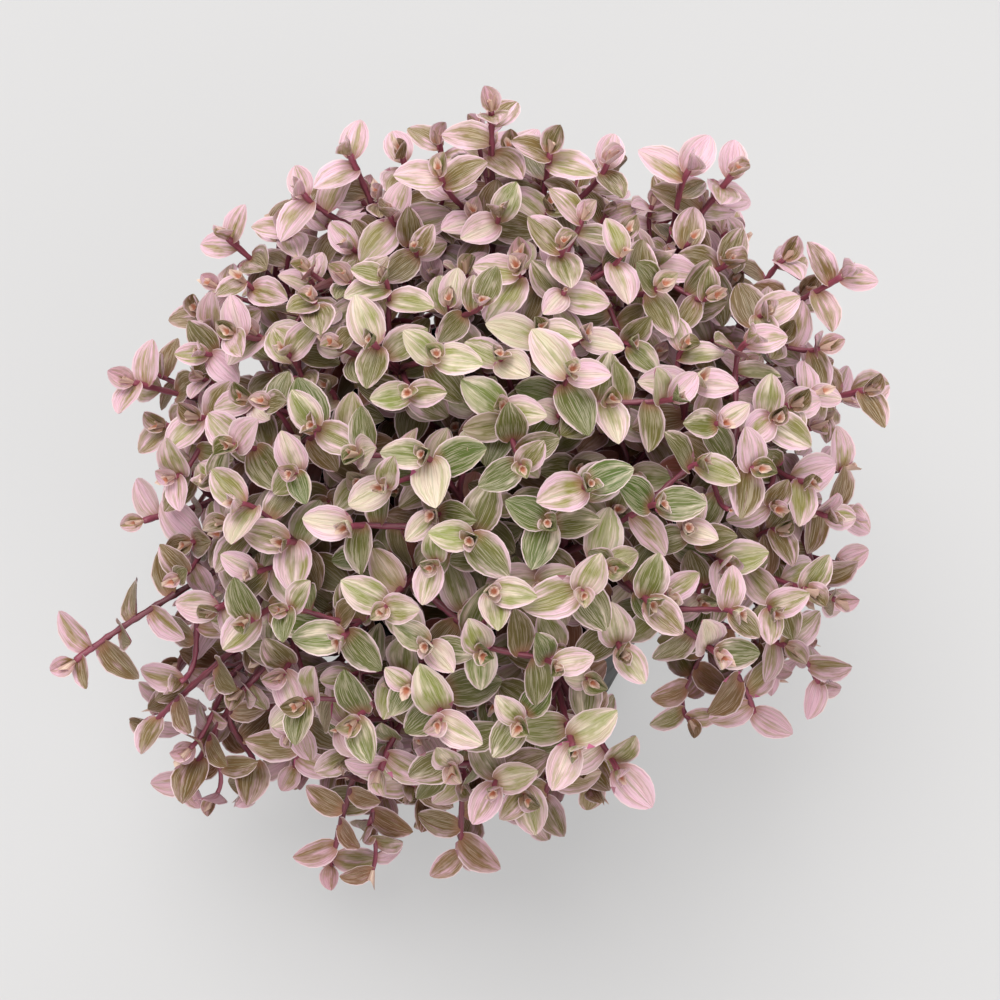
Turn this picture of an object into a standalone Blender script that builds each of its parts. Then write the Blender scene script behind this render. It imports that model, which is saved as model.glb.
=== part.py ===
"""A turtle vine in its nursery pot: a pot, its soil, and leafy sprays that stand in the soil.

Blender 4.5, metres, +Z up. The origin is the middle of the pot's underside, and -Y is the plant's front.
The shoot tips are placed first, stems are then led to them from the soil, and leaves are set on the stems
where they clear all that is already grown.
"""
import math

import bmesh
import bpy
import numpy as np

MM = 0.001
SEED = 1
GOLDEN_ANGLE = math.pi * (3 - math.sqrt(5))

# Pot
POT_HEIGHT = 80 * MM
RIM_RADIUS = 45 * MM
BASE_RADIUS = 32 * MM
POT_WALL = 1.2 * MM
RIM_BAND = 9 * MM
RIM_STEP = 1.6 * MM
FOOT_ROUND = 1.5 * MM
POT_SIDES = 36
DRAIN_COUNT = 6
DRAIN_SIDES = 12
DRAIN_RADIUS = 3 * MM
DRAIN_OUT = 19 * MM

# Soil, which fills the pot to a low crown with a rounded edge
SOIL_TOP = 71.5 * MM
SOIL_CROWN = 1 * MM
SOIL_EDGE = 4 * MM
SEAT_GAP = 0.3 * MM
SOIL_SIDES = 24
HOLE_SIDES = 4
HOLE_RADIUS = 1.7 * MM
HOLE_DEPTH = 12 * MM
STEM_DEPTH = 11 * MM

# Outer sprays, which shape the outline: bearing from +X in degrees, distance out and height of each tip in mm
OUTER_SPRAYS = (
    ((206, 101, 79), (213, 83, 70)),
    ((173, 80, 105), (178, 73, 99)),
    ((191, 79, 88), (199, 70, 92)),
    ((213, 92, 58), (216, 75, 68)),
    ((220, 91, 45), (226, 82, 43)),
    ((231, 73, 50), (236, 62, 60)),
    ((242, 82, 29), (246, 73, 39)),
    ((263, 73, 36), (253, 66, 54)),
    ((277, 67, 45), (289, 65, 51)),
    ((320, 74, 58), (329, 73, 72)),
    ((331, 82, 57),),
    ((339, 79, 76), (350, 77, 88)),
    ((7, 80, 102),),
    ((22, 80, 116), (31, 73, 112)),
    ((43, 68, 130), (48, 60, 134)),
    ((92, 52, 144), (108, 40, 140)),
    ((77, 47, 138), (63, 50, 136)),
    ((123, 59, 133), (134, 61, 127)),
    ((146, 72, 116), (163, 66, 111)),
)

# Crown: the other shoot tips lie on an egg whose lower half hangs round the pot, but for a notch at one side
CROWN_TIPS = 110
CROWN_MIDDLE = 90 * MM
CROWN_OUT = 74 * MM
CROWN_RISE = 52 * MM
CROWN_DROP = 68 * MM
CROWN_LOWEST = math.radians(118)
CROWN_SWELL = (-0.12, 0.06)
CROWN_SWAY = 0.07
TIP_SPACING = 14 * MM
NOTCH = (math.radians(-70), math.radians(-36))
NOTCH_TOP = math.radians(80)
TIPS_PER_SPRAY = 3
SPRAY_REACH = 30 * MM

# The way to the light that shoots and leaves turn to: up and a little to the front
LIGHT = np.array((0, -0.42, 0.91))

# Heading of a shoot at its tip: how much it turns to the light, and how much less where it hangs
FLATTENING = 0.8
LIFT = 1.1
DROOP = 0.9
HANG_START = 86 * MM
HANG_RANGE = 50 * MM

# Stems
STEM_RADIUS = 1.1 * MM
STEM_SIDES = 3
STEM_TAPER = 0.8
STEM_STEP = 1.5 * MM
STEM_SLACK = 1.2 * MM
STEM_GAP = 2.4 * MM
ROOT_OUT = 35 * MM
ROOT_ROUNDS = 60
SOIL_SOURCE = 55 * MM
STEM_START = 2 * MM
ARCH_START = 100 * MM
ARCH_RANGE = 50 * MM
ARCH_RISE = 26 * MM
BULGE_TRIES = 24
BULGE_MOST = 15 * MM
SIDE_LENGTH = 25 * MM
SIDE_BEND = 0.35
SIDE_SHIFTS = (0, -3, 3, -6, 6, -9, 9, -12, 12)
POT_GAP = 1.5 * MM
GROUND_GAP = 3 * MM

# The three big leaves of a shoot, from its tip back
LEAF_LENGTHS = np.array((9.3, 10.6, 10.9)) * MM
LEAF_SPREADS = np.radians((58, 74, 84))
LEAF_PLACES = np.array((1.8, 4.2, 8.2)) * MM
LEAF_ORDER = (1, 0, 2)
LEAF_TURN = math.radians(139)
LEAF_RATIO = 0.74
LEAF_FOLD = 0.26
LEAF_CURL = 0.34
LEAF_LIGHT = 1.1
LEAF_GAP = 2.0 * MM
SIBLING_GAP = 0.9 * MM
BLADE_THICK = 1.0 * MM
BLADE_STATIONS = (0.30, 0.70)

# What a leaf that is in the way tries in turn: a turn round its stem in degrees, and a share of its size
LEAF_TRIES = (
    (0, 1.0), (22, 1.0), (-22, 1.0), (45, 0.95), (-45, 0.95), (0, 0.82), (30, 0.78), (-30, 0.78), (70, 0.8),
)


def unit(vector):
    return vector / np.linalg.norm(vector)


def at(bearing, out, up):
    """Points by their bearing from +X, distance out and height."""
    return np.stack([out * np.cos(bearing), out * np.sin(bearing), up], axis=-1)


def outer_tips():
    shoots = np.array([shoot for spray in OUTER_SPRAYS for shoot in spray], float)
    return at(np.radians(shoots[:, 0]), shoots[:, 1] * MM, shoots[:, 2] * MM)


def crown_tips(rng, taken):
    """Shoot tips on the egg, spread by the golden angle and pushed a little in or out."""
    order = np.arange(CROWN_TIPS)
    polar = np.arccos(1 - (order + 0.5) / CROWN_TIPS * (1 - math.cos(CROWN_LOWEST)))
    bearing = order * GOLDEN_ANGLE + rng.uniform(-CROWN_SWAY, CROWN_SWAY, CROWN_TIPS)
    bearing = (bearing + math.pi) % (2 * math.pi) - math.pi
    swell = 1 + rng.uniform(*CROWN_SWELL, CROWN_TIPS)
    rise = np.where(polar < math.pi / 2, CROWN_RISE, CROWN_DROP)
    tips = at(bearing, CROWN_OUT * swell * np.sin(polar), CROWN_MIDDLE + rise * swell * np.cos(polar))
    apart = np.linalg.norm(tips[:, None] - taken[None], axis=2).min(axis=1)
    in_notch = (bearing > NOTCH[0]) & (bearing < NOTCH[1]) & (polar > NOTCH_TOP)
    return tips[(apart > TIP_SPACING) & ~in_notch]


def heading(tip):
    """The way a shoot points at its tip: out of the crown and to the light, less to the light where it hangs."""
    away = unit(np.array([tip[0], tip[1], FLATTENING * (tip[2] - CROWN_MIDDLE)]))
    low = min(max((HANG_START - tip[2]) / HANG_RANGE, 0), 1)
    return unit(away + (LIFT - DROOP * low) * LIGHT)


def spray_groups(tips):
    """The outer sprays as they are listed, then neighbouring crown tips in threes."""
    groups = []
    for spray in OUTER_SPRAYS:
        first = sum(len(group) for group in groups)
        groups.append(list(range(first, first + len(spray))))
    left = list(range(groups[-1][-1] + 1, len(tips)))
    while left:
        apart = np.linalg.norm(tips[left] - tips[left[0]], axis=1)
        nearest = np.argsort(apart, kind="stable")[:TIPS_PER_SPRAY]
        group = [left[index] for index in nearest if apart[index] < SPRAY_REACH]
        groups.append(group)
        left = [index for index in left if index not in group]
    return groups


def root_spots(tips, groups):
    """Where each spray leaves the soil: on its tips' side, further out for low tips, and pushed apart evenly."""
    middles = np.array([tips[group].mean(axis=0) for group in groups])
    polar = np.arctan2(np.hypot(middles[:, 0], middles[:, 1]), middles[:, 2] - SOIL_SOURCE)
    rank = np.argsort(np.argsort(polar))
    bearing = np.arctan2(middles[:, 1], middles[:, 0])
    spots = at(bearing, ROOT_OUT * np.sqrt((rank + 0.5) / len(groups)), 0 * bearing)[:, :2]
    wanted = 0.92 * ROOT_OUT * math.sqrt(math.pi / len(groups))
    for _ in range(ROOT_ROUNDS):
        apart = spots[:, None] - spots[None]
        length = np.linalg.norm(apart, axis=2) + np.eye(len(spots))
        push = np.clip(wanted - length, 0, None) * (1 - np.eye(len(spots)))
        spots = spots + 0.3 * (apart / length[..., None] * push[..., None]).sum(axis=1)
        spots = spots * np.minimum(1, ROOT_OUT / np.linalg.norm(spots, axis=1, keepdims=True))
    return spots


def bezier(start, lean, back, end):
    """A cubic curve from start to end, as points about a stem step apart."""
    length = np.linalg.norm(lean - start) + np.linalg.norm(back - lean) + np.linalg.norm(end - back)
    t = np.linspace(0, 1, max(8, int(length / STEM_STEP)))[:, None]
    ends = start * (1 - t) ** 3 + end * t ** 3
    return ends + 3 * t * (1 - t) * (lean * (1 - t) + back * t)


def main_path(root, tip, bulge):
    """A main stem: straight up out of the soil, high over the rim where its tip hangs, and out along its heading."""
    start = np.array([root[0], root[1], SOIL_TOP + STEM_START])
    span = np.linalg.norm(tip - start)
    low = min(max((ARCH_START - tip[2]) / ARCH_RANGE, 0), 1)
    lean = start + np.array([0, 0, (0.34 + 0.16 * low) * span]) + bulge
    back = tip - heading(tip) * span * (0.36 - 0.20 * low) + np.array([0, 0, ARCH_RISE * low]) + bulge
    return bezier(start, lean, back, tip)


def side_path(parent, shift, tip):
    """A side shoot, which leaves its parent where that makes it about its usual length, or a shift from there."""
    inner = len(parent) // 4
    lengths = np.linalg.norm(parent[inner:-4] - tip, axis=1)
    place = inner + int(np.abs(lengths - SIDE_LENGTH).argmin()) + shift
    place = min(max(place, 2), len(parent) - 3)
    start = parent[place]
    along = unit(parent[place + 1] - parent[place - 1])
    bend = SIDE_BEND * np.linalg.norm(tip - start)
    return bezier(start, start + unit(along + unit(tip - start)) * bend, tip - heading(tip) * bend, tip)


def thinned(path, slack):
    """The fewest points of a path that stay within the slack of it: its ends, and where it strays furthest."""
    chord = path[-1] - path[0]
    strays = np.linalg.norm(np.cross(path - path[0], chord), axis=1) / np.linalg.norm(chord)
    far = int(strays.argmax())
    if strays[far] < slack:
        return path[[0, -1]]
    return np.concatenate([thinned(path[:far + 1], slack)[:-1], thinned(path[far:], slack)])


def nearest_on(bones, point):
    """The point of a line through the bones that lies nearest to another point."""
    starts = bones[:-1]
    spans = bones[1:] - starts
    shares = ((point - starts) * spans).sum(axis=1) / (spans ** 2).sum(axis=1)
    places = starts + np.clip(shares, 0, 1)[:, None] * spans
    return places[np.linalg.norm(places - point, axis=1).argmin()]


def walked(bones):
    """Points along the straight runs between the bones, about a stem step apart."""
    runs = []
    for start, end in zip(bones[:-1], bones[1:]):
        count = max(1, round(np.linalg.norm(end - start) / STEM_STEP))
        runs.append(start + (end - start) * np.arange(count)[:, None] / count)
    return np.concatenate(runs + [bones[-1:]])


def off_the_pot(points):
    """True where no point comes near the pot, the soil or the ground."""
    out = np.hypot(points[:, 0], points[:, 1])
    beside = out > RIM_RADIUS + POT_GAP
    inside = (out < RIM_RADIUS - POT_WALL - POT_GAP) & (points[:, 2] > SOIL_TOP + POT_GAP)
    above = points[:, 2] > POT_HEIGHT + POT_GAP
    return bool((beside | inside | above).all() and (points[:, 2] > GROUND_GAP).all())


class Grown:
    """Points of all that is grown so far, each with the shoot that it is on."""

    def __init__(self):
        self.points = np.zeros((0, 3))
        self.shoots = np.zeros(0, int)

    def add(self, points, shoot):
        self.points = np.concatenate([self.points, points])
        self.shoots = np.concatenate([self.shoots, np.full(len(points), shoot)])

    def clear(self, points, gap, own=-1, own_gap=0.0):
        """True where points keep the gap to all else, and own_gap to their own shoot."""
        near = ((self.points > points.min(axis=0) - gap) & (self.points < points.max(axis=0) + gap)).all(axis=1)
        if not near.any():
            return True
        apart = np.linalg.norm(points[:, None] - self.points[near][None], axis=2).min(axis=0)
        wanted = np.where(self.shoots[near] == own, own_gap, gap)
        return bool((apart > wanted).all())


def grow_main(spray, tip, index, spot, bulges, grown):
    """The main shoot of a spray, bulged to one side where it is in the way, or None."""
    for bulge in bulges:
        path = main_path(spot, tip, bulge)
        bones = thinned(path, STEM_SLACK)
        course = walked(bones)
        if off_the_pot(course[2:]) and grown.clear(course[2:], STEM_GAP):
            grown.add(course, index)
            return {"spray": spray, "path": path, "bones": bones, "main": True}
    return None


def grow_side(main, tip, index, first, grown):
    """A side shoot of a spray, moved along its main stem where it is in the way, or None."""
    for shift in SIDE_SHIFTS:
        path = side_path(main["path"], shift, tip)
        bones = thinned(path, STEM_SLACK)
        bones[0] = nearest_on(main["bones"], bones[0])
        course = walked(bones)
        if off_the_pot(course) and grown.clear(course[3:], STEM_GAP, first, 0.8 * STEM_GAP):
            grown.add(course[3:], index)
            return {"spray": main["spray"], "path": path, "bones": bones, "main": False}
    return None


def grow_stems(rng):
    """The shoots of every spray, each with its smooth path and the bones of its solid, and all their points."""
    outer = outer_tips()
    tips = np.concatenate([outer, crown_tips(rng, outer)])
    groups = spray_groups(tips)
    spots = root_spots(tips, groups)
    bulges = rng.uniform((-1, -1, -0.3), 1, (len(groups), BULGE_TRIES, 3))
    bulges = bulges * np.linspace(0, BULGE_MOST, BULGE_TRIES)[:, None]
    grown = Grown()
    shoots = []
    for spray, group in enumerate(groups):
        foot = np.array([*spots[spray], SOIL_TOP])
        group = sorted(group, key=lambda tip: -np.linalg.norm(tips[tip] - foot))
        first = len(shoots)
        main = grow_main(spray, tips[group[0]], first, spots[spray], bulges[spray], grown)
        if main is None:
            continue
        shoots.append(main)
        sides = [grow_side(main, tips[tip], first + 1 + rank, first, grown) for rank, tip in enumerate(group[1:])]
        shoots += [side for side in sides if side is not None]
    return shoots, grown


def leaf_width(u):
    """Half width of a leaf along its length: broad at the base and pointed at the tip, 1 at its widest."""
    return u ** 0.55 * (1 - u) ** 0.6 / 0.4512


def leaf_points(leaf, u, v, drop=0.0):
    """Points of a leaf at u along it and v across it: a curled midrib with both halves folded up from it."""
    length = leaf["length"]
    half = 0.5 * LEAF_RATIO * length * leaf_width(u)
    rise = LEAF_FOLD * half * np.abs(v) ** 1.4 - LEAF_CURL * length * u * u / 2 - drop
    along = (length * u)[..., None] * leaf["way"]
    return leaf["base"] + along + (half * v)[..., None] * leaf["side"] + rise[..., None] * leaf["up"]


def set_leaf(shoot, rank, turn, length):
    """A leaf at its place on a shoot, turned round the stem and tipped up to the light."""
    path = shoot["path"]
    lengths = np.cumsum(np.linalg.norm(np.diff(path[::-1], axis=0), axis=1))
    place = len(path) - 1 - int(np.searchsorted(lengths, LEAF_PLACES[rank]))
    axis = unit(path[place] - path[place - 1])
    flat = unit(np.cross(axis, [0.03, 0.02, 1.0]))
    radial = flat * math.cos(turn) + np.cross(axis, flat) * math.sin(turn)
    spread = LEAF_SPREADS[rank]
    way = axis * math.cos(spread) + radial * math.sin(spread)
    way = unit(way + np.array([0, 0, 0.45 * max(0, -way[2]) + 0.10]))
    up = axis * math.sin(spread) - radial * math.cos(spread) + (LEAF_LIGHT + max(0, -axis[2])) * LIGHT
    up = unit(up - way * np.dot(up, way))
    root = nearest_on(shoot["bones"], path[place])
    return {"base": path[place], "root": root, "way": way, "up": up, "side": np.cross(way, up), "length": length}


def grow_leaves(shoots, grown, rng):
    """Leaves, rank by rank; one that is in the way is turned or made smaller, or left out."""
    turns = rng.uniform(0, 2 * math.pi, len(shoots))
    jitter = rng.normal(0, 1, (len(shoots), len(LEAF_LENGTHS), 2))
    u, v = np.meshgrid(np.linspace(0.16, 1, 8), np.linspace(-1, 1, 6), indexing="ij")
    leaves = []
    for rank in LEAF_ORDER:
        for index, shoot in enumerate(shoots):
            turn = turns[index] + rank * LEAF_TURN + 0.22 * jitter[index, rank, 0]
            length = LEAF_LENGTHS[rank] * (1 + 0.08 * jitter[index, rank, 1])
            for shift, size in LEAF_TRIES:
                leaf = set_leaf(shoot, rank, turn + math.radians(shift), length * size)
                points = leaf_points(leaf, u, v, BLADE_THICK / 2).reshape(-1, 3)
                if off_the_pot(points) and grown.clear(points, LEAF_GAP, index, SIBLING_GAP):
                    leaf["shoot"] = index
                    leaves.append(leaf)
                    grown.add(points, index)
                    break
    return leaves


def material(name, colour, roughness):
    made = bpy.data.materials.new(name)
    made.use_nodes = True
    shader = made.node_tree.nodes["Principled BSDF"]
    shader.inputs["Base Color"].default_value = (*colour, 1)
    shader.inputs["Roughness"].default_value = roughness
    shader.inputs["Metallic"].default_value = 0
    return made


def collection(name):
    made = bpy.data.collections.new(name)
    bpy.context.scene.collection.children.link(made)
    return made


def add_object(name, data, home):
    made = bpy.data.objects.new(name, data)
    home.objects.link(made)
    return made


def hide_as_guide(guide):
    """Mark a cutter or a guide, which isn't part of the model."""
    guide.hide_render = True
    guide.display_type = "WIRE"
    return guide


def made_mesh(source, name, home, weld=False):
    """A plain mesh object of a curve or a modified object, which is then removed."""
    bpy.context.view_layer.update()
    mesh = bpy.data.meshes.new_from_object(source.evaluated_get(bpy.context.evaluated_depsgraph_get()))
    if weld:
        shape = bmesh.new()
        shape.from_mesh(mesh)
        bmesh.ops.remove_doubles(shape, verts=shape.verts, dist=0.00001)
        shape.to_mesh(mesh)
        shape.free()
    made = add_object(name, mesh, home)
    made.matrix_world = source.matrix_world
    bpy.data.objects.remove(source)
    return made


def turned(name, profile, sides, home):
    """A solid of revolution from a profile of (radius, height) points."""
    mesh = bpy.data.meshes.new(name)
    points = [(radius, 0, height) for radius, height in profile]
    mesh.from_pydata(points, [(number, number + 1) for number in range(len(points) - 1)], [])
    made = add_object(name, mesh, home)
    screw = made.modifiers.new("Screw", "SCREW")
    screw.steps = sides
    screw.render_steps = sides
    screw.use_merge_vertices = True
    screw.merge_threshold = 0.00001
    screw.use_smooth_shade = True
    return made


def round_cutter(name, sides, radius, depth, middle, cutters):
    """An upright cylinder that cuts a hole."""
    shape = bmesh.new()
    bmesh.ops.create_cone(shape, cap_ends=True, segments=sides, radius1=radius, radius2=radius, depth=depth)
    mesh = bpy.data.meshes.new(name)
    shape.to_mesh(mesh)
    shape.free()
    tool = hide_as_guide(add_object(name, mesh, cutters))
    tool.location = middle


def cut(target, cutters):
    boolean = target.modifiers.new("Holes", "BOOLEAN")
    boolean.operation = "DIFFERENCE"
    boolean.operand_type = "COLLECTION"
    boolean.collection = cutters
    boolean.solver = "EXACT"


def wall_radius(height):
    """Outer radius of the pot's tapered wall under its rim band."""
    return BASE_RADIUS + (RIM_RADIUS - RIM_STEP - BASE_RADIUS) * height / (POT_HEIGHT - RIM_BAND)


def make_pot(home, cutters):
    """A thin tapered pot with a wider band under its rim, and drainage holes round the middle of its floor."""
    band = POT_HEIGHT - RIM_BAND
    inner_rim = RIM_RADIUS - POT_WALL
    profile = (
        (0, POT_WALL),
        (BASE_RADIUS - POT_WALL, POT_WALL),
        (wall_radius(band) - POT_WALL, band),
        (inner_rim, band + RIM_STEP),
        (inner_rim, POT_HEIGHT - POT_WALL / 2),
        (inner_rim + POT_WALL / 2, POT_HEIGHT),
        (RIM_RADIUS, POT_HEIGHT - POT_WALL / 2),
        (RIM_RADIUS, band),
        (wall_radius(band), band),
        (BASE_RADIUS, FOOT_ROUND),
        (BASE_RADIUS - FOOT_ROUND, 0),
        (0, 0),
    )
    pot = turned("pot", profile, POT_SIDES, home)
    bearings = 2 * math.pi * np.arange(DRAIN_COUNT) / DRAIN_COUNT
    for middle in at(bearings, DRAIN_OUT, np.full(DRAIN_COUNT, POT_WALL / 2)):
        round_cutter("drain_cutter", DRAIN_SIDES, DRAIN_RADIUS, 4 * POT_WALL, middle, cutters)
    cut(pot, cutters)
    pot.data.materials.append(material("pot_plastic", (0.02, 0.02, 0.022), 0.45))


def make_soil(spots, home, cutters):
    """Soil that fills the pot with a seat gap all round, and has a plain hole for each stem."""
    inset = POT_WALL + SEAT_GAP
    edge = SOIL_TOP - SOIL_EDGE
    profile = (
        (0, SOIL_TOP + SOIL_CROWN),
        (0.6 * ROOT_OUT, SOIL_TOP + SOIL_CROWN / 2),
        (wall_radius(edge) - inset - SOIL_EDGE / 2, SOIL_TOP - SOIL_EDGE / 2),
        (wall_radius(edge) - inset, edge),
        (BASE_RADIUS - inset, inset),
        (0, inset),
    )
    soil = turned("soil", profile, SOIL_SIDES, home)
    for spot in spots:
        round_cutter("hole_cutter", HOLE_SIDES, HOLE_RADIUS, 2 * HOLE_DEPTH, (*spot, SOIL_TOP), cutters)
    cut(soil, cutters)
    soil.data.materials.append(material("potting_soil", (0.045, 0.03, 0.02), 0.95))


def stem_section(guides):
    """The three-sided outline that every stem is drawn with."""
    outline = bpy.data.curves.new("stem_section", "CURVE")
    outline.dimensions = "2D"
    spline = outline.splines.new("POLY")
    spline.points.add(STEM_SIDES - 1)
    spline.use_cyclic_u = True
    for number, point in enumerate(spline.points):
        bearing = -2 * math.pi * number / STEM_SIDES
        point.co = (STEM_RADIUS * math.cos(bearing), STEM_RADIUS * math.sin(bearing), 0, 1)
    return hide_as_guide(add_object("stem_section", outline, guides))


def tube(name, points, section, home):
    """A stem through the points, which tapers to its tip."""
    curve = bpy.data.curves.new(name, "CURVE")
    curve.dimensions = "3D"
    curve.bevel_mode = "OBJECT"
    curve.bevel_object = section
    curve.use_fill_caps = True
    spline = curve.splines.new("POLY")
    spline.points.add(len(points) - 1)
    spline.points.foreach_set("co", np.c_[points, np.ones(len(points))].ravel())
    spline.points.foreach_set("radius", np.linspace(1, STEM_TAPER, len(points)))
    return made_mesh(add_object(name, curve, home), name, home, weld=True)


def blade(name, leaf, home):
    """A leaf solid, from a point in the stem to its tip, with an edge, rib, edge and keel at each station."""
    stations = np.array(BLADE_STATIONS)
    u, v = np.meshgrid(stations, np.array([-1.0, 0.0, 1.0]), indexing="ij")
    keel = leaf_points(leaf, stations, np.zeros(2), BLADE_THICK)
    rings = np.concatenate([leaf_points(leaf, u, v), keel[:, None]], axis=1)
    tip = leaf_points(leaf, np.array([1.0]), np.array([0.0]))
    points = np.concatenate([leaf["root"][None], rings.reshape(-1, 3), tip])
    left, rib, right, under = range(1, 5)
    faces = []
    for edge, middle in ((left, rib), (right, rib), (left, under), (right, under)):
        faces.append((0, edge, middle))
        faces.append((edge, edge + 4, middle + 4))
        faces.append((edge, middle + 4, middle))
        faces.append((edge + 4, len(points) - 1, middle + 4))
    mesh = bpy.data.meshes.new(name)
    mesh.from_pydata(points.tolist(), [], faces)
    shape = bmesh.new()
    shape.from_mesh(mesh)
    bmesh.ops.recalc_face_normals(shape, faces=shape.faces)
    shape.to_mesh(mesh)
    shape.free()
    return add_object(name, mesh, home)


def make_spray(name, stem, sides, leaves, section, finish, home):
    """One spray: its stem from in the soil to its tip, its side shoots and its leaves, fused to one solid."""
    pieces = collection(name + "_pieces")
    foot = np.array([[*stem["bones"][0][:2], SOIL_TOP - STEM_DEPTH]])
    body = tube(name + "_stem", np.concatenate([foot, stem["bones"]]), section, home)
    for side in sides:
        tube(name + "_side", side["bones"], section, pieces)
    for leaf in leaves:
        blade(name + "_leaf", leaf, pieces)
    union = body.modifiers.new("Union", "BOOLEAN")
    union.operation = "UNION"
    union.operand_type = "COLLECTION"
    union.collection = pieces
    union.solver = "MANIFOLD"
    spray = made_mesh(body, name, home)
    for piece in list(pieces.objects):
        bpy.data.objects.remove(piece)
    bpy.data.collections.remove(pieces)
    spray.data.materials.clear()
    spray.data.materials.append(finish)


def main():
    for old in list(bpy.data.objects):
        bpy.data.objects.remove(old)
    home = collection("turtle_vine")
    rng = np.random.default_rng(SEED)
    shoots, grown = grow_stems(rng)
    leaves = grow_leaves(shoots, grown, rng)
    section = stem_section(collection("guides"))
    finish = material("foliage", (0.42, 0.36, 0.25), 0.5)
    stems = [shoot for shoot in shoots if shoot["main"]]
    for number, stem in enumerate(stems, start=1):
        members = [index for index, shoot in enumerate(shoots) if shoot["spray"] == stem["spray"]]
        sides = [shoots[index] for index in members if not shoots[index]["main"]]
        own_leaves = [leaf for leaf in leaves if leaf["shoot"] in members]
        make_spray(f"spray_{number:02d}", stem, sides, own_leaves, section, finish, home)
    make_pot(home, collection("pot_cutters"))
    make_soil([stem["path"][0][:2] for stem in stems], home, collection("soil_cutters"))
    print(len(stems), "sprays,", len(shoots), "shoots,", len(leaves), "leaves")


main()
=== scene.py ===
"""The turtle vine in its pot, finished for a picture: fine leaves, stems and buds, pot, soil and a stage.

Blender 4.5, metres, +Z up, -Y the plant's front. The shoots and their three big leaves grow here by the same
rules and the same seeded draws as in the solids, so each fine spray lies where its solid is. Small side
shoots, young leaves and older leaves are then added wherever there is room.
"""
import math

import bpy
import numpy as np
from bpy.props import FloatProperty, FloatVectorProperty, IntProperty, PointerProperty
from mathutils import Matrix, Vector


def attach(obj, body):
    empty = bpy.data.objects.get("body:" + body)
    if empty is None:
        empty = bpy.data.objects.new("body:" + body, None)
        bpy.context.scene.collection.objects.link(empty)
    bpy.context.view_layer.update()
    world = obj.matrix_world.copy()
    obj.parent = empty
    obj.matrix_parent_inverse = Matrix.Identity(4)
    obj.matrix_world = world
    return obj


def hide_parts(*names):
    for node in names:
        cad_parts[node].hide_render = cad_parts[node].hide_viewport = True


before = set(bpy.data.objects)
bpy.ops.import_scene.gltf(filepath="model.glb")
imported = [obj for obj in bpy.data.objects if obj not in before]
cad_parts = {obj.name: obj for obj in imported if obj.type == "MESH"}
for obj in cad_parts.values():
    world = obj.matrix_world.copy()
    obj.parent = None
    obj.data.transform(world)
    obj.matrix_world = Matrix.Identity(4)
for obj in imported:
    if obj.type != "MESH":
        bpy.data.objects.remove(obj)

bl_info = {
    "name": "Turtle vine in a nursery pot",
    "version": (1, 0, 0),
    "blender": (4, 5, 0),
    "location": "View3D > Sidebar > Turtle vine",
    "description": "Leafy sprays, pot, soil and a plain stage for the turtle vine",
    "category": "Object",
}

MM = 0.001
GOLDEN_ANGLE = math.pi * (3 - math.sqrt(5))

# The solids' seed, pot and soil
SEED = 1
POT_HEIGHT = 80 * MM
RIM_RADIUS = 45 * MM
BASE_RADIUS = 32 * MM
POT_WALL = 1.2 * MM
RIM_BAND = 9 * MM
RIM_STEP = 1.6 * MM
FOOT_ROUND = 1.5 * MM
DRAIN_COUNT = 6
DRAIN_RADIUS = 3 * MM
DRAIN_OUT = 19 * MM
SOIL_TOP = 71.5 * MM
SOIL_CROWN = 1 * MM
SOIL_EDGE = 4 * MM
SEAT_GAP = 0.3 * MM
SOIL_INSET = POT_WALL + SEAT_GAP
STEM_DEPTH = 11 * MM

# The solids' outer sprays: bearing from +X in degrees, distance out and height of each tip in mm
OUTER_SPRAYS = (
    ((206, 101, 79), (213, 83, 70)),
    ((173, 80, 105), (178, 73, 99)),
    ((191, 79, 88), (199, 70, 92)),
    ((213, 92, 58), (216, 75, 68)),
    ((220, 91, 45), (226, 82, 43)),
    ((231, 73, 50), (236, 62, 60)),
    ((242, 82, 29), (246, 73, 39)),
    ((263, 73, 36), (253, 66, 54)),
    ((277, 67, 45), (289, 65, 51)),
    ((320, 74, 58), (329, 73, 72)),
    ((331, 82, 57),),
    ((339, 79, 76), (350, 77, 88)),
    ((7, 80, 102),),
    ((22, 80, 116), (31, 73, 112)),
    ((43, 68, 130), (48, 60, 134)),
    ((92, 52, 144), (108, 40, 140)),
    ((77, 47, 138), (63, 50, 136)),
    ((123, 59, 133), (134, 61, 127)),
    ((146, 72, 116), (163, 66, 111)),
)

# The solids' crown
CROWN_TIPS = 110
CROWN_MIDDLE = 90 * MM
CROWN_OUT = 74 * MM
CROWN_RISE = 52 * MM
CROWN_DROP = 68 * MM
CROWN_LOWEST = math.radians(118)
CROWN_SWELL = (-0.12, 0.06)
CROWN_SWAY = 0.07
TIP_SPACING = 14 * MM
NOTCH = (math.radians(-70), math.radians(-36))
NOTCH_TOP = math.radians(80)
TIPS_PER_SPRAY = 3
SPRAY_REACH = 30 * MM

# The way to the light that shoots and leaves turn to, as in the solids: up and a little to the front
LIGHT = np.array((0, -0.42, 0.91))

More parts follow.
